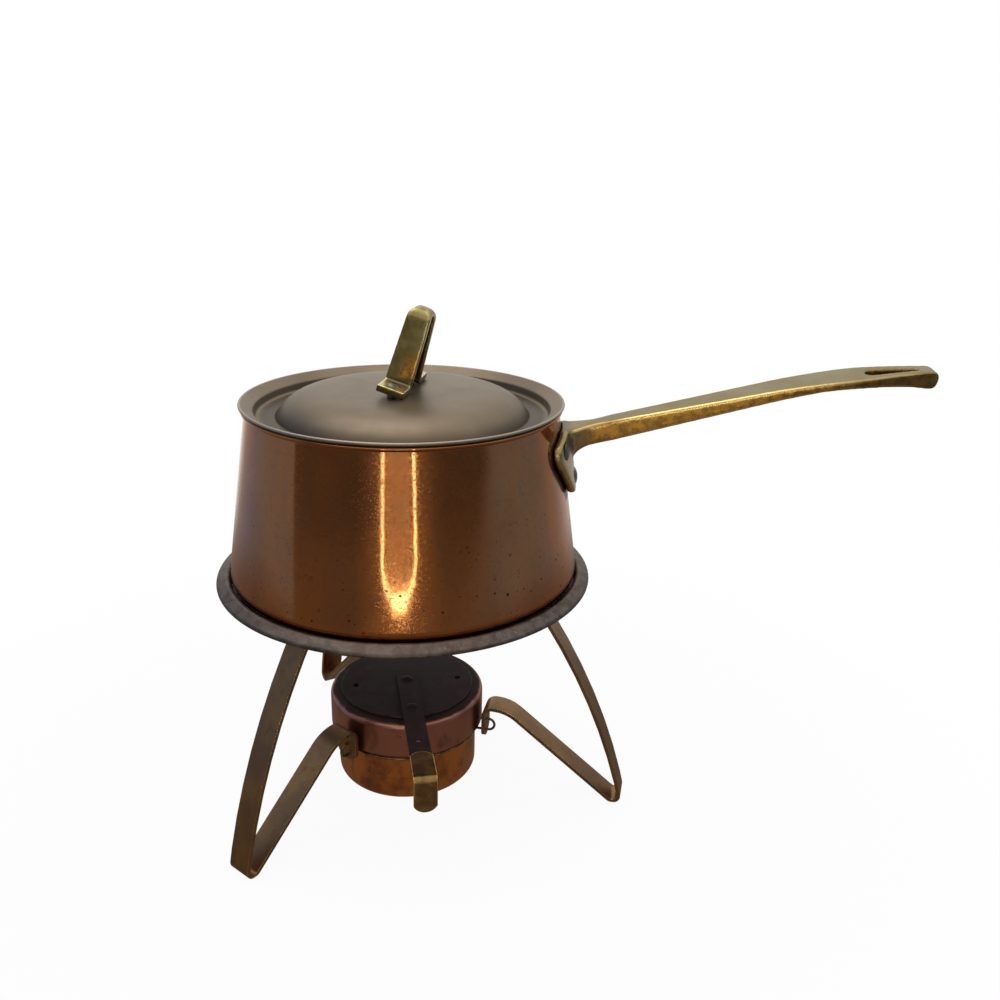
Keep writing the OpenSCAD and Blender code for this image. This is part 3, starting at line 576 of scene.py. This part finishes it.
def sooty_metal():
    """Dark metal over the flame, with a dull brown bloom."""
    f = Finish("sooty_metal", metallic=0.05, specular_ior_level=0.1)
    clouds = f.noise(9, 4, 0.6)
    colour = f.blend(f.step(clouds, 0.35, 0.7), (0.026, 0.014, 0.0135), (0.046, 0.025, 0.023))
    rough = 0.5 + 0.2 * clouds
    return f.set(base_color=colour, roughness=rough, normal=f.bump(f.noise(1.2, 3), 0.03))


def sooty_edge():
    """Edges of the lever and disc, where the soot has rubbed off."""
    f = Finish("sooty_edge", metallic=0.8)
    wear = f.step(f.noise(4, 3), 0.4, 0.65)
    colour = f.blend(wear, (0.022, 0.016, 0.014), (0.09, 0.064, 0.048))
    return f.set(base_color=colour, roughness=0.42 - 0.08 * wear)


def rivet_metal():
    """Hammered rivet heads with dirt round them."""
    f = Finish("rivet_metal", metallic=1)
    clouds = f.noise(2.5, 3)
    colour = f.blend(f.step(clouds, 0.4, 0.65), (0.11, 0.095, 0.075), (0.22, 0.19, 0.145))
    return f.set(base_color=colour, roughness=0.36 + 0.15 * clouds, normal=f.bump(clouds, 0.08))


def wire_metal():
    """Browned wire of the hoop and ties."""
    f = Finish("wire_metal", metallic=1)
    clouds = f.noise(4, 3)
    colour = f.blend(f.step(clouds, 0.4, 0.65), (0.13, 0.09, 0.055), (0.3, 0.21, 0.11))
    return f.set(base_color=colour, roughness=0.34 + 0.14 * clouds, normal=f.bump(clouds, 0.03))


def wool():
    """Packed mineral wool, scorched in places."""
    f = Finish("wool", sheen_weight=0.3)
    fibres = f.noise(1.2, 5, 0.7, distortion=1.5)
    clouds = f.noise(12, 3)
    colour = f.blend(f.step(clouds, 0.45, 0.75), (0.56, 0.53, 0.47), (0.28, 0.23, 0.17))
    colour = f.blend(f.step(fibres, 0.4, 0.7) * 0.4, colour, (0.72, 0.7, 0.64))
    return f.set(base_color=colour, roughness=0.9 - 0.1 * fibres, normal=f.bump(fibres, 0.4))


def gauze_metal():
    """Steel gauze, blued by the flame."""
    f = Finish("gauze_metal", metallic=1)
    clouds = f.noise(14, 3)
    weave = f.add("ShaderNodeTexWave", inputs={"Vector": f.place, "Scale": GAUZE_WAVES})
    colour = f.blend(f.step(clouds, 0.4, 0.65), (0.2, 0.19, 0.19), (0.12, 0.1, 0.11))
    return f.set(base_color=colour, roughness=0.4 + 0.15 * clouds, normal=f.bump(weave, 0.08))


# Outlines
def bend(before, corner, after, radius):
    """Points of the round bend at a corner."""
    corner = Vector(corner[:2])
    to_before = (Vector(before[:2]) - corner).normalized()
    to_after = (Vector(after[:2]) - corner).normalized()
    half = to_before.angle(to_after) / 2
    start = corner + to_before * radius / math.tan(half)
    centre = corner + (to_before + to_after).normalized() * radius / math.sin(half)
    turns_left = to_before.x * to_after.y - to_before.y * to_after.x < 0
    turn = (math.pi - 2 * half) * (1 if turns_left else -1)
    count = max(2, math.ceil(abs(turn) / BEND_STEP))
    spoke = start - centre
    return [centre + Matrix.Rotation(turn * i / count, 2) @ spoke for i in range(count + 1)]


def bent_path(path):
    """An open path; a corner given as (x, y, radius) is bent."""
    points = [Vector(path[0][:2])]
    for before, corner, after in zip(path, path[1:], path[2:]):
        points += bend(before, corner, after, corner[2]) if len(corner) > 2 else [Vector(corner)]
    return points + [Vector(path[-1][:2])]


def beside(path, distance):
    """A path moved to its left by a distance."""
    moved = []
    for i, point in enumerate(path):
        a = path[max(i, 1)] - path[max(i, 1) - 1]
        b = path[min(i, len(path) - 2) + 1] - path[min(i, len(path) - 2)]
        left_a = Vector((-a.y, a.x)).normalized()
        left_b = Vector((-b.y, b.x)).normalized()
        middle = (left_a + left_b).normalized()
        moved.append(point + middle * distance / middle.dot(left_a))
    return moved


def sheet_outline(path, wall, edge_r=0):
    """Closed outline of sheet metal along its middle line, with its far edge rounded."""
    upper, lower = beside(path, wall / 2), beside(path, -wall / 2)
    if not edge_r:
        return upper + lower[::-1]
    back = (path[-1] - path[-2]).normalized() * edge_r
    spoke = upper[-1] - path[-1]
    edge = [
        path[-1] - back + Matrix.Rotation(-math.pi * i / EDGE_STEPS, 2) @ spoke
        for i in range(1, EDGE_STEPS)
    ]
    return upper[:-1] + [upper[-1] - back] + edge + [lower[-1] - back] + lower[-2::-1]


def off_axis(outline):
    """An outline with the points that cross the axis put back on it."""
    return [(max(0, point.x), point.y) for point in outline]


# Modelling
def pick(piece):
    """Selects one piece and nothing else."""
    bpy.ops.object.select_all(action="DESELECT")
    piece.select_set(True)
    bpy.context.view_layer.objects.active = piece


def drawn(name, points, fill="NOTHING"):
    """A new object whose mesh is the closed outline through points given in millimetres."""
    bpy.ops.object.select_all(action="DESELECT")
    bpy.ops.mesh.primitive_circle_add(vertices=len(points), fill_type=fill)
    piece = bpy.context.object
    piece.name = name
    for vertex, point in zip(piece.data.vertices, points):
        vertex.co = Vector(point) * MM
    return piece


def edit(piece, *steps):
    """Runs edit-mode steps on the whole of a piece."""
    pick(piece)
    bpy.ops.object.mode_set(mode="EDIT")
    for operator, options in steps:
        bpy.ops.mesh.select_all(action="SELECT")
        operator(**options)
    bpy.ops.object.mode_set(mode="OBJECT")


def modify(piece, kind, **settings):
    """Adds a modifier with its settings and applies it."""
    modifier = piece.modifiers.new(kind.lower(), kind)
    for name, value in settings.items():
        setattr(modifier, name, value)
    pick(piece)
    bpy.ops.object.modifier_apply(modifier=modifier.name)


def smooth(piece, angle=SHARP_ANGLE):
    """Shades a piece smooth, apart from edges sharper than an angle."""
    pick(piece)
    bpy.ops.object.shade_smooth_by_angle(angle=angle)


def even_shading(piece):
    """Lets the large faces set the shading, so that flat and straight stretches stay true."""
    modify(piece, "WEIGHTED_NORMAL", weight=100, keep_sharp=True)


def turned(name, outline):
    """A closed outline of (radius, height) points turned about the axis."""
    piece = drawn(name, [(r, 0, z) for r, z in outline])
    spin = {"steps": TURN_STEPS, "angle": math.tau, "center": (0, 0, 0), "axis": (0, 0, 1)}
    edit(
        piece,
        (bpy.ops.mesh.spin, spin),
        (bpy.ops.mesh.remove_doubles, {"threshold": TURNED_MERGE}),
        (bpy.ops.mesh.delete_loose, {}),
        (bpy.ops.mesh.normals_make_consistent, {"inside": False}),
    )
    smooth(piece)
    even_shading(piece)
    return piece


def finish_with(piece, *finishes):
    """Gives a piece its finishes and takes any others away."""
    piece.data.materials.clear()
    for finish in finishes:
        piece.data.materials.append(finish)


def copied(name, node, *finishes):
    """A merged copy of a CAD node, ready for modelling."""
    piece = bpy.data.objects.new(name, frame["nodes"][node].data.copy())
    bpy.context.scene.collection.objects.link(piece)
    finish_with(piece, *finishes)
    edit(
        piece,
        (bpy.ops.mesh.customdata_custom_splitnormals_clear, {}),
        (bpy.ops.mesh.remove_doubles, {"threshold": COPIED_MERGE}),
        (bpy.ops.mesh.dissolve_limited, {"angle_limit": FLAT_ANGLE}),
    )
    return piece


def softened(name, node, radius, *finishes):
    """A copy of a CAD node with its edges rounded; the rounds take the last finish."""
    piece = copied(name, node, *finishes)
    modify(
        piece,
        "BEVEL",
        width=radius * MM,
        segments=EDGE_SEGMENTS,
        limit_method="ANGLE",
        angle_limit=SHARP_ANGLE,
        use_clamp_overlap=True,
        material=len(finishes) - 1,
    )
    smooth(piece)
    even_shading(piece)
    return piece


def cast(name, node, grain, rounds, finish, softer=0):
    """A copy of a CAD node with a casting's soft edges, softer still within a reach of the axis."""
    piece = copied(name, node, finish)
    modify(piece, "REMESH", mode="VOXEL", voxel_size=grain * MM)
    modify(piece, "SMOOTH", iterations=rounds)
    if softer:
        group = piece.vertex_groups.new(name="softer")
        for vertex in piece.data.vertices:
            weight = (softer - vertex.co.xy.length / MM) / PLATE_FADE
            if weight > 0:
                group.add([vertex.index], min(1, weight), "REPLACE")
        modify(piece, "SMOOTH", iterations=PLATE_ROUNDS, vertex_group=group.name)
        piece.vertex_groups.clear()
    smooth(piece, math.pi)
    map_wear(piece)
    return piece


def map_wear(piece):
    """Marks each point with how far it faces up and stands out: 0 in a hollow, 1 on an edge."""
    mesh = piece.data
    bulge = [0.0] * len(mesh.vertices)
    edges = [0] * len(mesh.vertices)
    for edge in mesh.edges:
        a, b = (mesh.vertices[i] for i in edge.vertices)
        along = b.co - a.co
        turn = (b.normal - a.normal).dot(along) / along.length_squared * MM
        for end in edge.vertices:
            bulge[end] += turn
            edges[end] += 1
    wear = [min(1, max(0, 0.5 + total / max(1, count))) for total, count in zip(bulge, edges)]
    for _ in range(WEAR_BLURS):
        spread = [0.0] * len(wear)
        for edge in mesh.edges:
            a, b = edge.vertices
            spread[a] += wear[b]
            spread[b] += wear[a]
        wear = [(own + total) / (1 + count) for own, total, count in zip(wear, spread, edges)]
    upward = [vertex.normal.z for vertex in mesh.vertices]
    for name, values in (("wear", wear), ("upward", upward)):
        mesh.attributes.new(name, "FLOAT", "POINT").data.foreach_set("value", values)


def dress(piece, node):
    """Hands a modelled piece to the body of the node that it stands for."""
    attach(piece, BODY_OF[node])
    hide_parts(node)


def paint(finish, *nodes):
    """Gives a finish to CAD nodes that stay as they are."""
    for node in nodes:
        finish_with(frame["nodes"][node], finish)


# Pieces
def make_pot():
    """Turns the pot from sheet copper and tins its inside."""
    half = POT_WALL / 2
    angle = math.atan((POT_BASE_R - POT_MOUTH_R) / POT_H)
    shift = half / math.cos(angle)
    mouth_z = POT_Z + POT_H
    lip_z = mouth_z + (half - shift * math.sin(LIP_ANGLE)) / math.cos(LIP_ANGLE)
    lip_edge_r = POT_MOUTH_R + LIP_W - half * math.sin(LIP_ANGLE)
    lip_edge_z = mouth_z + LIP_W * math.tan(LIP_ANGLE) + half * math.cos(LIP_ANGLE)
    base_r = POT_BASE_R - shift - half * math.tan(angle)
    middle = bent_path(
        [
            (0, POT_Z + half),
            (base_r, POT_Z + half, POT_CORNER_R - half),
            (POT_MOUTH_R - shift, lip_z, LIP_BEND_R),
            (lip_edge_r, lip_edge_z),
        ]
    )
    pot = turned("pot", sheet_outline(middle, POT_WALL, POT_EDGE_R))
    finish_with(pot, FINISH["copper"], FINISH["tinned"])
    for face in pot.data.polygons:
        inward = face.normal.xy.dot(face.center.xy) < INNER_OUT * face.center.xy.length
        inside = inward or face.normal.z > FLOOR_UP
        face.material_index = int(inside and face.center.z / MM > POT_Z + half)
    dress(pot, "pot_body")


def make_lid():
    """Turns the lid, with a domed middle in a sunk groove, and tins its underside."""
    slope = math.tan(LIP_ANGLE)
    lip_top_z = POT_Z + POT_H + POT_WALL / math.cos(LIP_ANGLE)
    under_z = lip_top_z + REST_GAP + (LID_FLANGE_R - POT_MOUTH_R) * slope
    flange_in_r = LID_FLANGE_R - LID_FLANGE_W
    flange_in_z = under_z + LID_WALL / math.cos(LIP_ANGLE) - LID_FLANGE_W * slope
    well_z = flange_in_z - LID_WELL_H
    dome = []
    for i in range(LID_DOME_STEPS + 1):
        r = (LID_DOME_R - LID_DOME_FOOT_W) * math.sin(math.pi / 2 * i / LID_DOME_STEPS)
        dome.append((r, well_z + LID_DOME_H - LID_DOME_H * (r / LID_DOME_R) ** LID_DOME_POWER))
    outside = [
        (LID_DOME_R, well_z, LID_DOME_FOOT_R),
        (flange_in_r - LID_WELL_SLANT, well_z, LID_WELL_BEND_R),
        (flange_in_r, flange_in_z, LID_FLANGE_BEND_R),
        (LID_FLANGE_R, flange_in_z + LID_FLANGE_W * slope),
    ]
    middle = beside(bent_path(dome + outside), -LID_WALL / 2)
    lid = turned("lid", off_axis(sheet_outline(middle, LID_WALL, LID_EDGE_R)))
    finish_with(lid, FINISH["lid"], FINISH["tinned"])
    for face in lid.data.polygons:
        face.material_index = int(face.normal.z < UNDERSIDE_UP)
    dress(lid, "lid_shell")


def make_ring():
    """Turns the stand's ring."""
    seat_z = SEAT_Z - RING_WALL / 2
    edge_r = RING_R - RING_WALL / 2
    crest_z = SEAT_Z + RING_LIP_H - RING_WALL / 2
    brim_angle = math.atan(BRIM_FALL / (edge_r - RING_LIP_R))
    corner_z = crest_z + RING_CREST_R * (math.tan(math.pi / 4 + brim_angle / 2) - 1)
    edge_z = corner_z - BRIM_FALL
    middle = bent_path(
        [
            (SEAT_HOLE_R, seat_z),
            (RING_LIP_R, seat_z, RING_SEAT_BEND_R),
            (RING_LIP_R, corner_z, RING_CREST_R),
            (edge_r, edge_z, BRIM_BEND_R),
            (edge_r, edge_z - BRIM_EDGE_H),
        ]
    )
    ring = turned("ring", sheet_outline(middle, RING_WALL, RING_EDGE_R))
    finish_with(ring, FINISH["ring"])
    dress(ring, "stand_ring")


def make_cup():
    """Turns the burner's cup, with a wider neck for the cap."""
    half = BURNER_WALL / 2
    middle = bent_path(
        [
            (0, CUP_Z + half),
            (CUP_R - half, CUP_Z + half, CUP_CORNER_R),
            (CUP_R - half, CUP_NECK_Z - (CUP_NECK_R - CUP_R), CUP_NECK_BEND_R),
            (CUP_NECK_R - half, CUP_NECK_Z, CUP_NECK_BEND_R),
            (CUP_NECK_R - half, CUP_RIM_Z),
        ]
    )
    cup = turned("cup", off_axis(sheet_outline(middle, BURNER_WALL)))
    finish_with(cup, FINISH["burner"])
    dress(cup, "burner_cup")


def make_packing():
    """Loose wool pressed into the cup: a crowned pad with a lumpy top."""
    wall_r = PACKING_R - PACKING_GAP
    base_z = PACKING_Z + PACKING_GAP
    outline = bent_path(
        [
            (0, base_z),
            (wall_r, base_z, PACKING_CORNER_R),
            (wall_r, PACKING_TOP_Z - PACKING_SIDE_FALL, PACKING_SIDE_BEND_R),
            (wall_r - PACKING_CROWN_W, PACKING_TOP_Z - PACKING_CROWN_FALL, PACKING_CROWN_BEND_R),
            (0, PACKING_TOP_Z - PACKING_TOP_GAP),
        ]
    )
    packing = turned("packing", outline)
    for size, depth in WOOL_LUMPS:
        lumps = bpy.data.textures.new(f"lumps_{size}", "CLOUDS")
        lumps.noise_scale = size * MM
        modify(
            packing,
            "DISPLACE",
            texture=lumps,
            texture_coords="LOCAL",
            mid_level=1,
            strength=depth * MM,
        )
    finish_with(packing, FINISH["wool"])
    dress(packing, "burner_packing")


def make_castings():
    """Casts the long handle and the lid's loop."""
    handle = cast(
        "handle", "pot_handle", HANDLE_GRAIN, HANDLE_ROUNDS, FINISH["handle"], PLATE_REACH
    )
    dress(handle, "pot_handle")
    loop = cast("lid_loop", "lid_handle", LOOP_GRAIN, LOOP_ROUNDS, FINISH["loop"])
    dress(loop, "lid_handle")


def make_soft_edges():
    """Pieces that keep the CAD shape and get rounded, worn edges."""
    leg = (FINISH["strip"], FINISH["rubbed"])
    sooty = (FINISH["sooty"], FINISH["sooty_rim"])
    tab = (FINISH["tab"], FINISH["rubbed"])
    burner = (FINISH["burner"],)
    # Name, node, slot, radius of the edges and finishes
    pieces = [
        ("leg_front", "front_leg", "leg_brass", 0.4, leg),
        ("leg_by_handle", "handle_side_leg", "leg_brass", 0.4, leg),
        ("leg_rear", "rear_leg", "leg_brass", 0.4, leg),
        ("cap", "burner_cap", "burner_copper", 0.15, burner),
        ("lever", "damper_lever", "sooty_metal", 0.25, sooty),
        ("disc", "damper_disc", "sooty_metal", 0.2, sooty),
        ("tab", "thumb_tab", "thumb_brass", 0.35, tab),
    ]
    for name, node, slot, radius, finishes in pieces:
        dress(softened(name, node, radius, *finishes), node)


def paint_small_parts():
    """Finishes the CAD nodes that keep their shape."""
    paint(FINISH["rivet"], "handle_rivets", "lid_rivets", "leg_rivets")
    paint(FINISH["sooty"], "damper_pivot", "damper_guide")
    paint(FINISH["wire"], "burner_hoop", "front_tie", "handle_side_tie", "rear_tie")
    paint(FINISH["gauze"], "burner_gauze", "pivot_washer")


# Stage
def make_camera():
    """Sets the camera where the photograph was taken from."""
    data = bpy.data.cameras.new("camera")
    data.lens = CAMERA_LENS
    data.sensor_width = CAMERA_SENSOR
    camera = bpy.data.objects.new("camera", data)
    bpy.context.scene.collection.objects.link(camera)
    turn = (
        Matrix.Rotation(CAMERA_YAW, 4, "Z")
        @ Matrix.Rotation(math.pi / 2 - CAMERA_PITCH, 4, "X")
        @ Matrix.Rotation(CAMERA_ROLL, 4, "Z")
    )
    camera.matrix_world = Matrix.Translation(CAMERA_AT) @ turn
    bpy.context.scene.camera = camera


def make_world():
    """Soft light from all round; seen directly, it is white."""
    world = bpy.data.worlds.new("studio")
    bpy.context.scene.world = world
    world.use_nodes = True
    nodes = Nodes(world.node_tree)
    nodes.tree.nodes.clear()
    soft = nodes.add("ShaderNodeBackground", inputs={"Color": SOFT_WHITE, "Strength": SOFT_LIGHT})
    white = nodes.add("ShaderNodeBackground", inputs={"Color": (1, 1, 1), "Strength": 1})
    mixed = nodes.add("ShaderNodeMixShader", inputs={0: nodes.seen_directly(), 1: soft, 2: white})
    output = nodes.tree.nodes.new("ShaderNodeOutputWorld")
    nodes.feed(output.inputs["Surface"], mixed)


def make_floor():
    """Lays a pale floor that goes over into white and keeps the object's shadow."""
    bpy.ops.object.select_all(action="DESELECT")
    bpy.ops.mesh.primitive_plane_add(size=FLOOR_W)
    floor = bpy.context.object
    floor.name = "floor"
    f = Finish("floor", base_color=(0.86, 0.86, 0.86), roughness=0.9)
    far = f.step(f.radius(), *FLOOR_SHADE_END_R)
    share = f.seen_directly() * (1 - FLOOR_SHADE + FLOOR_SHADE * far)
    shaded = Wire(f, f.shader.outputs[0])
    mixed = f.add("ShaderNodeMixShader", inputs={0: share, 1: shaded, 2: f.glow((1, 1, 1))})
    finish_with(floor, f.surface(mixed))


def show_in_gloss_only(piece, material):
    """Makes a piece a part of the stage that the metal mirrors and nothing else shows."""
    finish_with(piece, material)
    for sight in ("camera", "diffuse", "shadow", "transmission"):
        setattr(piece, f"visible_{sight}", False)


def room_light():
    """Light of the room, by direction from its middle and by place."""
    f = Finish("room")
    cool_left, cool_right, grey = (0.3, 0.4, 0.6), (0.25, 0.35, 0.53), (0.4, 0.4, 0.4)
    pale_left, pale_right = (1.1, 1.07, 1.02), (0.62, 0.61, 0.58)
    far_dark, near_dark, warm_dark = (0.13, 0.125, 0.12), (0.2, 0.18, 0.16), (0.36, 0.31, 0.26)
    wood, daylight, white = (0.21, 0.165, 0.12), (1.15, 1.12, 1.05), (1.15, 1.13, 1.08)
    x, y, z = f.parts(f.add("ShaderNodeVectorMath", {"operation": "NORMALIZE"}, {0: f.place}))
    radius = f.radius()

    # Cool sides and a pale back
    sides = f.blend(f.step(f.x, -0.1, 0.1), cool_left, cool_right)
    sides = f.blend(f.step(y, 0.3, 0.6), sides, grey)
    back = f.blend(f.step(x, -0.5, 0.45), pale_left, pale_right)
    colour = f.blend(f.step(y, 0.55, 0.9), sides, back)

    # Dark front, with a hard edge on the left and a soft one on the right
    beyond = f.y + 0.34 * abs(f.x) + 0.13
    left_front = 1 - f.step(beyond, -0.03, 0.02)
    right_front = 1 - f.step(beyond, -0.35, 0.25)
    right = f.step(f.x, -0.02, 0.02)
    dark = f.blend(1 - f.step(radius, 0.5, 1.6), far_dark, near_dark)
    dark = f.blend(1 - f.step(abs(x - 0.11), 0.08, 0.5), dark, warm_dark)
    colour = f.blend((1 - right) * left_front + right * right_front, colour, dark)

    # Brown table under the object
    reach = radius + 0.4 * f.most(f.y, 0)
    table = (1 - f.step(reach, 0.4, 0.65)) * (1 - f.step(f.z, 0, 0.01))
    colour = f.blend(table, colour, wood)

    # Window high in front and a pale ceiling
    window = f.step(z, 0.4, 0.64) * (1 - f.step(z, 0.75, 0.9))
    window = window * (1 - f.step(y, 0, 0.35)) * f.step(x, -0.85, -0.45)
    above = f.step(z + 0.35 * y + 0.3 * f.maths("MINIMUM", x, 0), 0.42, 0.92)
    colour = f.blend(window, colour, daylight)
    colour = f.blend(above, colour, white)
    return f.surface(f.glow(colour))


def make_room():
    """Puts a half sphere of light round the object, for the metal to mirror."""
    bpy.ops.object.select_all(action="DESELECT")
    bpy.ops.mesh.primitive_uv_sphere_add(segments=64, ring_count=32, radius=ROOM_R)
    room = bpy.context.object
    room.name = "room"
    cut = {"plane_co": (0, 0, ROOM_Z), "plane_no": (0, 0, 1), "use_fill": True, "clear_inner": True}
    edit(room, (bpy.ops.mesh.bisect, cut), (bpy.ops.mesh.normals_make_consistent, {"inside": True}))
    show_in_gloss_only(room, room_light())


def make_band():
    """Hangs a bent strip light in front, shaped like a U."""
    outer, inner = [], []
    for edge, side in ((outer, BAND_W / 2), (inner, -BAND_W / 2)):
        for i in range(-BAND_STEPS, BAND_STEPS + 1):
            turn = math.pi / 2 * i / BAND_STEPS
            fall = (BAND_DROP + side) * math.cos(turn) ** BAND_BEND_POWER
            edge.append((BAND_X + (BAND_HALF + side) * math.sin(turn), BAND_Y, BAND_BEND_Z - fall))
        edge.insert(0, (edge[0][0], BAND_Y, BAND_TOP_Z))
        edge.append((edge[-1][0], BAND_Y, BAND_TOP_Z))
    band = drawn("band", outer + inner[::-1], "NGON")
    f = Finish("band")
    show_in_gloss_only(band, f.surface(f.glow(BAND_COLOUR, BAND_LIGHT)))


def make_lamp(name, size, place, aim, radiance, colour=(1, 1, 1)):
    """A flat soft lamp of the given brightness, out of the camera's sight."""
    data = bpy.data.lights.new(name, "AREA")
    data.shape = "RECTANGLE"
    data.size, data.size_y = size
    data.energy = radiance * math.pi * size[0] * size[1]
    data.color = colour
    lamp = bpy.data.objects.new(name, data)
    bpy.context.scene.collection.objects.link(lamp)
    lamp.location = place
    lamp.rotation_mode = "QUATERNION"
    lamp.rotation_quaternion = (Vector(aim) - Vector(place)).to_track_quat("-Z", "Y")
    lamp.visible_camera = False


def make_lights():
    """Hangs a soft lamp overhead and two small ones within the strip light."""
    middle, warm = (0, 0, 0.1), (1, 0.93, 0.82)
    make_lamp("overhead", (0.9, 0.9), (-0.25, 0.1, 1.3), middle, 1.6)
    make_lamp("low_glow", (0.09, 0.012), (0.062, -0.59, 0.037), middle, 8, BAND_COLOUR)
    make_lamp("inner_glow", (0.16, 0.2), (0.066, -0.64, 0.14), (0, 0, 0.14), 0.45, warm)


bpy.context.scene.view_settings.view_transform = "Standard"
FINISH = {
    "copper": pot_copper(),
    "tinned": tinned(),
    "lid": lid_metal(),
    "handle": handle_brass(),
    "loop": loop_brass(),
    "tab": tab_brass(),
    "rubbed": rubbed_brass(),
    "strip": strip_brass(),
    "ring": ring_metal(),
    "burner": burner_copper(),
    "sooty": sooty_metal(),
    "sooty_rim": sooty_edge(),
    "rivet": rivet_metal(),
    "wire": wire_metal(),
    "wool": wool(),
    "gauze": gauze_metal(),
}
make_camera()
make_world()
make_floor()
make_room()
make_band()
make_lights()
make_pot()
make_lid()
make_ring()
make_cup()
make_packing()
make_castings()
make_soft_edges()
paint_small_parts()
